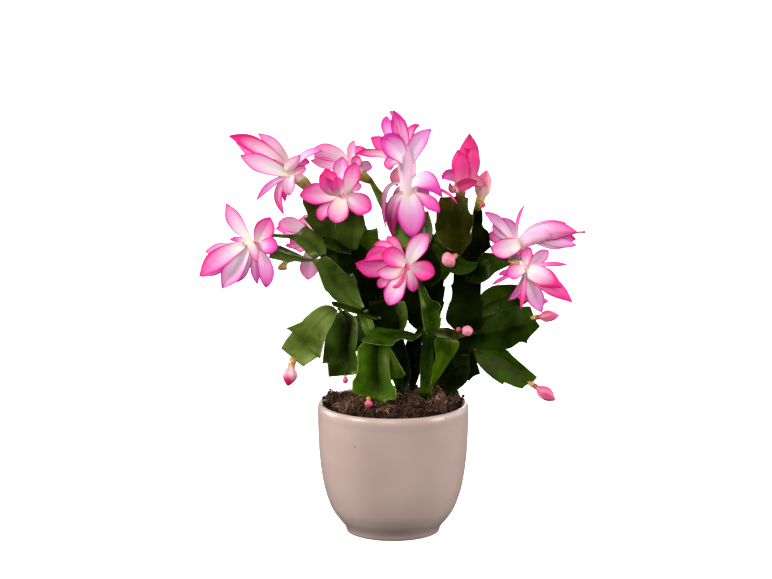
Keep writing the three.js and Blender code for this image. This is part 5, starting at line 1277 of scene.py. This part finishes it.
# ---------------------------------------------------------------- soil
SOIL_EDGE = 87.5
SOIL_MOUND = 6.5
SOIL_LEVEL = 47
SOIL_REACH = 47.2
SOIL_DEPTH = 9
SOIL_MESH = (46, 110)
ROOT_LOW = 78.0
ROOT_TOP = 99.0
DRAW_SEED = 7
CRUMBS = 430
STRANDS = 2000
STRAND_REACH = 45.0
# how far out a thread may lie below the lip and over it
STRAND_LIMIT, OVER_LIP = SOIL_REACH - 0.6, 50.0
STRAND_WIDTHS = (0.12, 0.16, 0.2, 0.28, 0.4)
STRAW_SHARE = 0.12
# across, depth, height and radius of the clumps and hollows in the soil
CLUMPS = [(33, -20, 100.5, 3.4), (10, -18, 98.5, 3.4), (-30, -22, 97.5, 3.6),
          (-12, -6, 98, 3.2), (30, 26, 99, 3.2), (-42, 8, 95, 3), (42.5, 4, 95.5, 3.2)]
HOLLOWS = [(-31, 34, 90, 7)]
# across, depth, height and size of the crumbs that lie on the lip
RIM_CRUMBS = [(-46, -12, 92, 1.5), (-47.5, -7, 92.4, 1.7), (-48, 9, 92.6, 1.6),
              (-44.5, 22, 93.2, 1.3), (-44, 22, 95.4, 0.9), (46.5, -5, 92.4, 1.6),
              (48, 3, 93, 1.5), (49, 9, 93.6, 1.2), (45, 4, 94.5, 1.7)]


def soil_height(x, y):
    out = min(math.hypot(x, y) / SOIL_LEVEL, 1)
    lumps = math.sin(x * 0.31 + 1.3) * math.cos(y * 0.27 + 0.4) + 0.6 * math.sin(x * 0.17 - y * 0.41)
    height = SOIL_EDGE + SOIL_MOUND * (1 - out ** 5) + 0.9 * lumps * (1 - out * 0.6)
    for cx, cy, top, radius in CLUMPS + HOLLOWS:
        away = math.hypot(x - cx, y - cy) / (radius * 1.5)
        height += (top - height) * 0.85 * math.exp(-away * away)
    return height


def soil_mound(skin):
    """The rough ground itself, closed by a wall and a flat underside."""
    rings, sides = SOIL_MESH
    points, along = [(0, 0, soil_height(0, 0))], [0.5]
    for r in np.linspace(0, 1, rings + 1)[1:] * SOIL_REACH:
        for turn in ring_turns(sides):
            x, y = r * math.cos(turn), r * math.sin(turn)
            grain = noise.fractal(Vector((x * 0.28, y * 0.28, 3.1)), 0.9, 2.1, 5)
            points.append((x, y, soil_height(x, y) + 2.9 * grain * (1 - (r / SOIL_REACH) ** 8 * 0.6)))
            along.append(0.5 + grain)
    points += [(x, y, SOIL_EDGE - SOIL_DEPTH) for x, y, _ in points[-sides:]]
    along += [0.5] * sides

    def at(i, k):
        return 1 + i * sides + k % sides

    faces = [(0, at(0, k), at(0, k + 1)) for k in range(sides)]
    for i in range(rings):
        faces += [(at(i, k), at(i + 1, k), at(i + 1, k + 1), at(i, k + 1)) for k in range(sides)]
    faces.append(tuple(at(rings, k) for k in range(sides))[::-1])
    skin.add(points, faces, "peat", along, 0.5, 0.0)


def scattered(draw, reach):
    """A random place within reach of the middle, and its distance from there."""
    r, turn = reach * math.sqrt(draw.random()), draw.uniform(0, FULL_TURN)
    return r * math.cos(turn), r * math.sin(turn), r


def strand(skin, draw, i):
    """One thread of coir: a loop on the soil, or an end that stands out of a clump."""
    if i % 5 < 2:
        cx, cy, _, radius = CLUMPS[i // 5 % len(CLUMPS)]
        x, y = cx + draw.gauss(0, radius * 0.9), cy + draw.gauss(0, radius * 0.9)
        rise, length = draw.uniform(1, 4.6), draw.uniform(3, 8)
    else:
        x, y, r = scattered(draw, STRAND_REACH)
        rise, length = draw.uniform(0.2, 3.6) * (1 - 0.7 * (r / STRAND_REACH) ** 4), draw.uniform(3, 10)
    heading, bend = draw.uniform(0, FULL_TURN), draw.uniform(-3.6, 3.6)
    width = draw.choice(STRAND_WIDTHS)
    arch = draw.choice((0.55, 1.0))
    here = np.array([x, y])
    points = []
    steps, sides = STRAND_MESH
    for k in range(steps):
        up = rise * math.sin(math.pi * arch * k / (steps - 1))
        z = soil_height(*here) + 0.4 + up
        out = math.hypot(*here)
        limit = OVER_LIP if z > LIP_HEIGHT + LIP_ROUND + 0.7 else STRAND_LIMIT
        if out > limit:
            here = here * limit / out
        points.append((*here, z))
        turn = heading + bend * k / steps
        here = here + length / steps * np.array([math.cos(turn), math.sin(turn)])
    radii = width * np.sin(np.linspace(0.25, 2.9, steps)) ** 0.6
    tube(skin, np.array(points), radii, sides, "straw" if draw.random() < STRAW_SHARE else "fibre", i * 0.07)


def soil_object():
    """Peat with coir fibres: a rough mound, crumbs, and loose curved threads."""
    skin = Skin("peat_and_fibres")
    soil_mound(skin)
    draw = random.Random(DRAW_SEED)
    for i in range(CRUMBS):
        x, y, _ = scattered(draw, SOIL_REACH * 0.97)
        size = draw.uniform(0.7, 2.3)
        lump(skin, (x, y, soil_height(x, y) + size * 0.4), (size, size * draw.uniform(0.6, 1), size * 0.8),
             "crumb" if i % 3 else "peat", i * 0.13, 0.9)
    for i, (x, y, z, size) in enumerate(RIM_CRUMBS):
        lump(skin, (x, y, z), (size, size * 0.8, size * 0.75), "peat", i * 0.31, 0.9)
    for i in range(STRANDS):
        strand(skin, draw, i)
    skin.finish("soil_fibre", "soil")


# ---------------------------------------------------------------- the whole plant
pot_object()
soil_object()
for stem_name, stem_row in STEMS.items():
    stem_object(stem_name, stem_row)
for bloom_name, bloom_row in BLOOMS.items():
    rose = bloom_name == "bloom_upper_right"
    bloom_object(bloom_name, bloom_row, "petal_rose" if rose else "petal_pink")
for bud_name, bud_row in BUD_ROWS.items():
    bud_object(bud_name, bud_row)
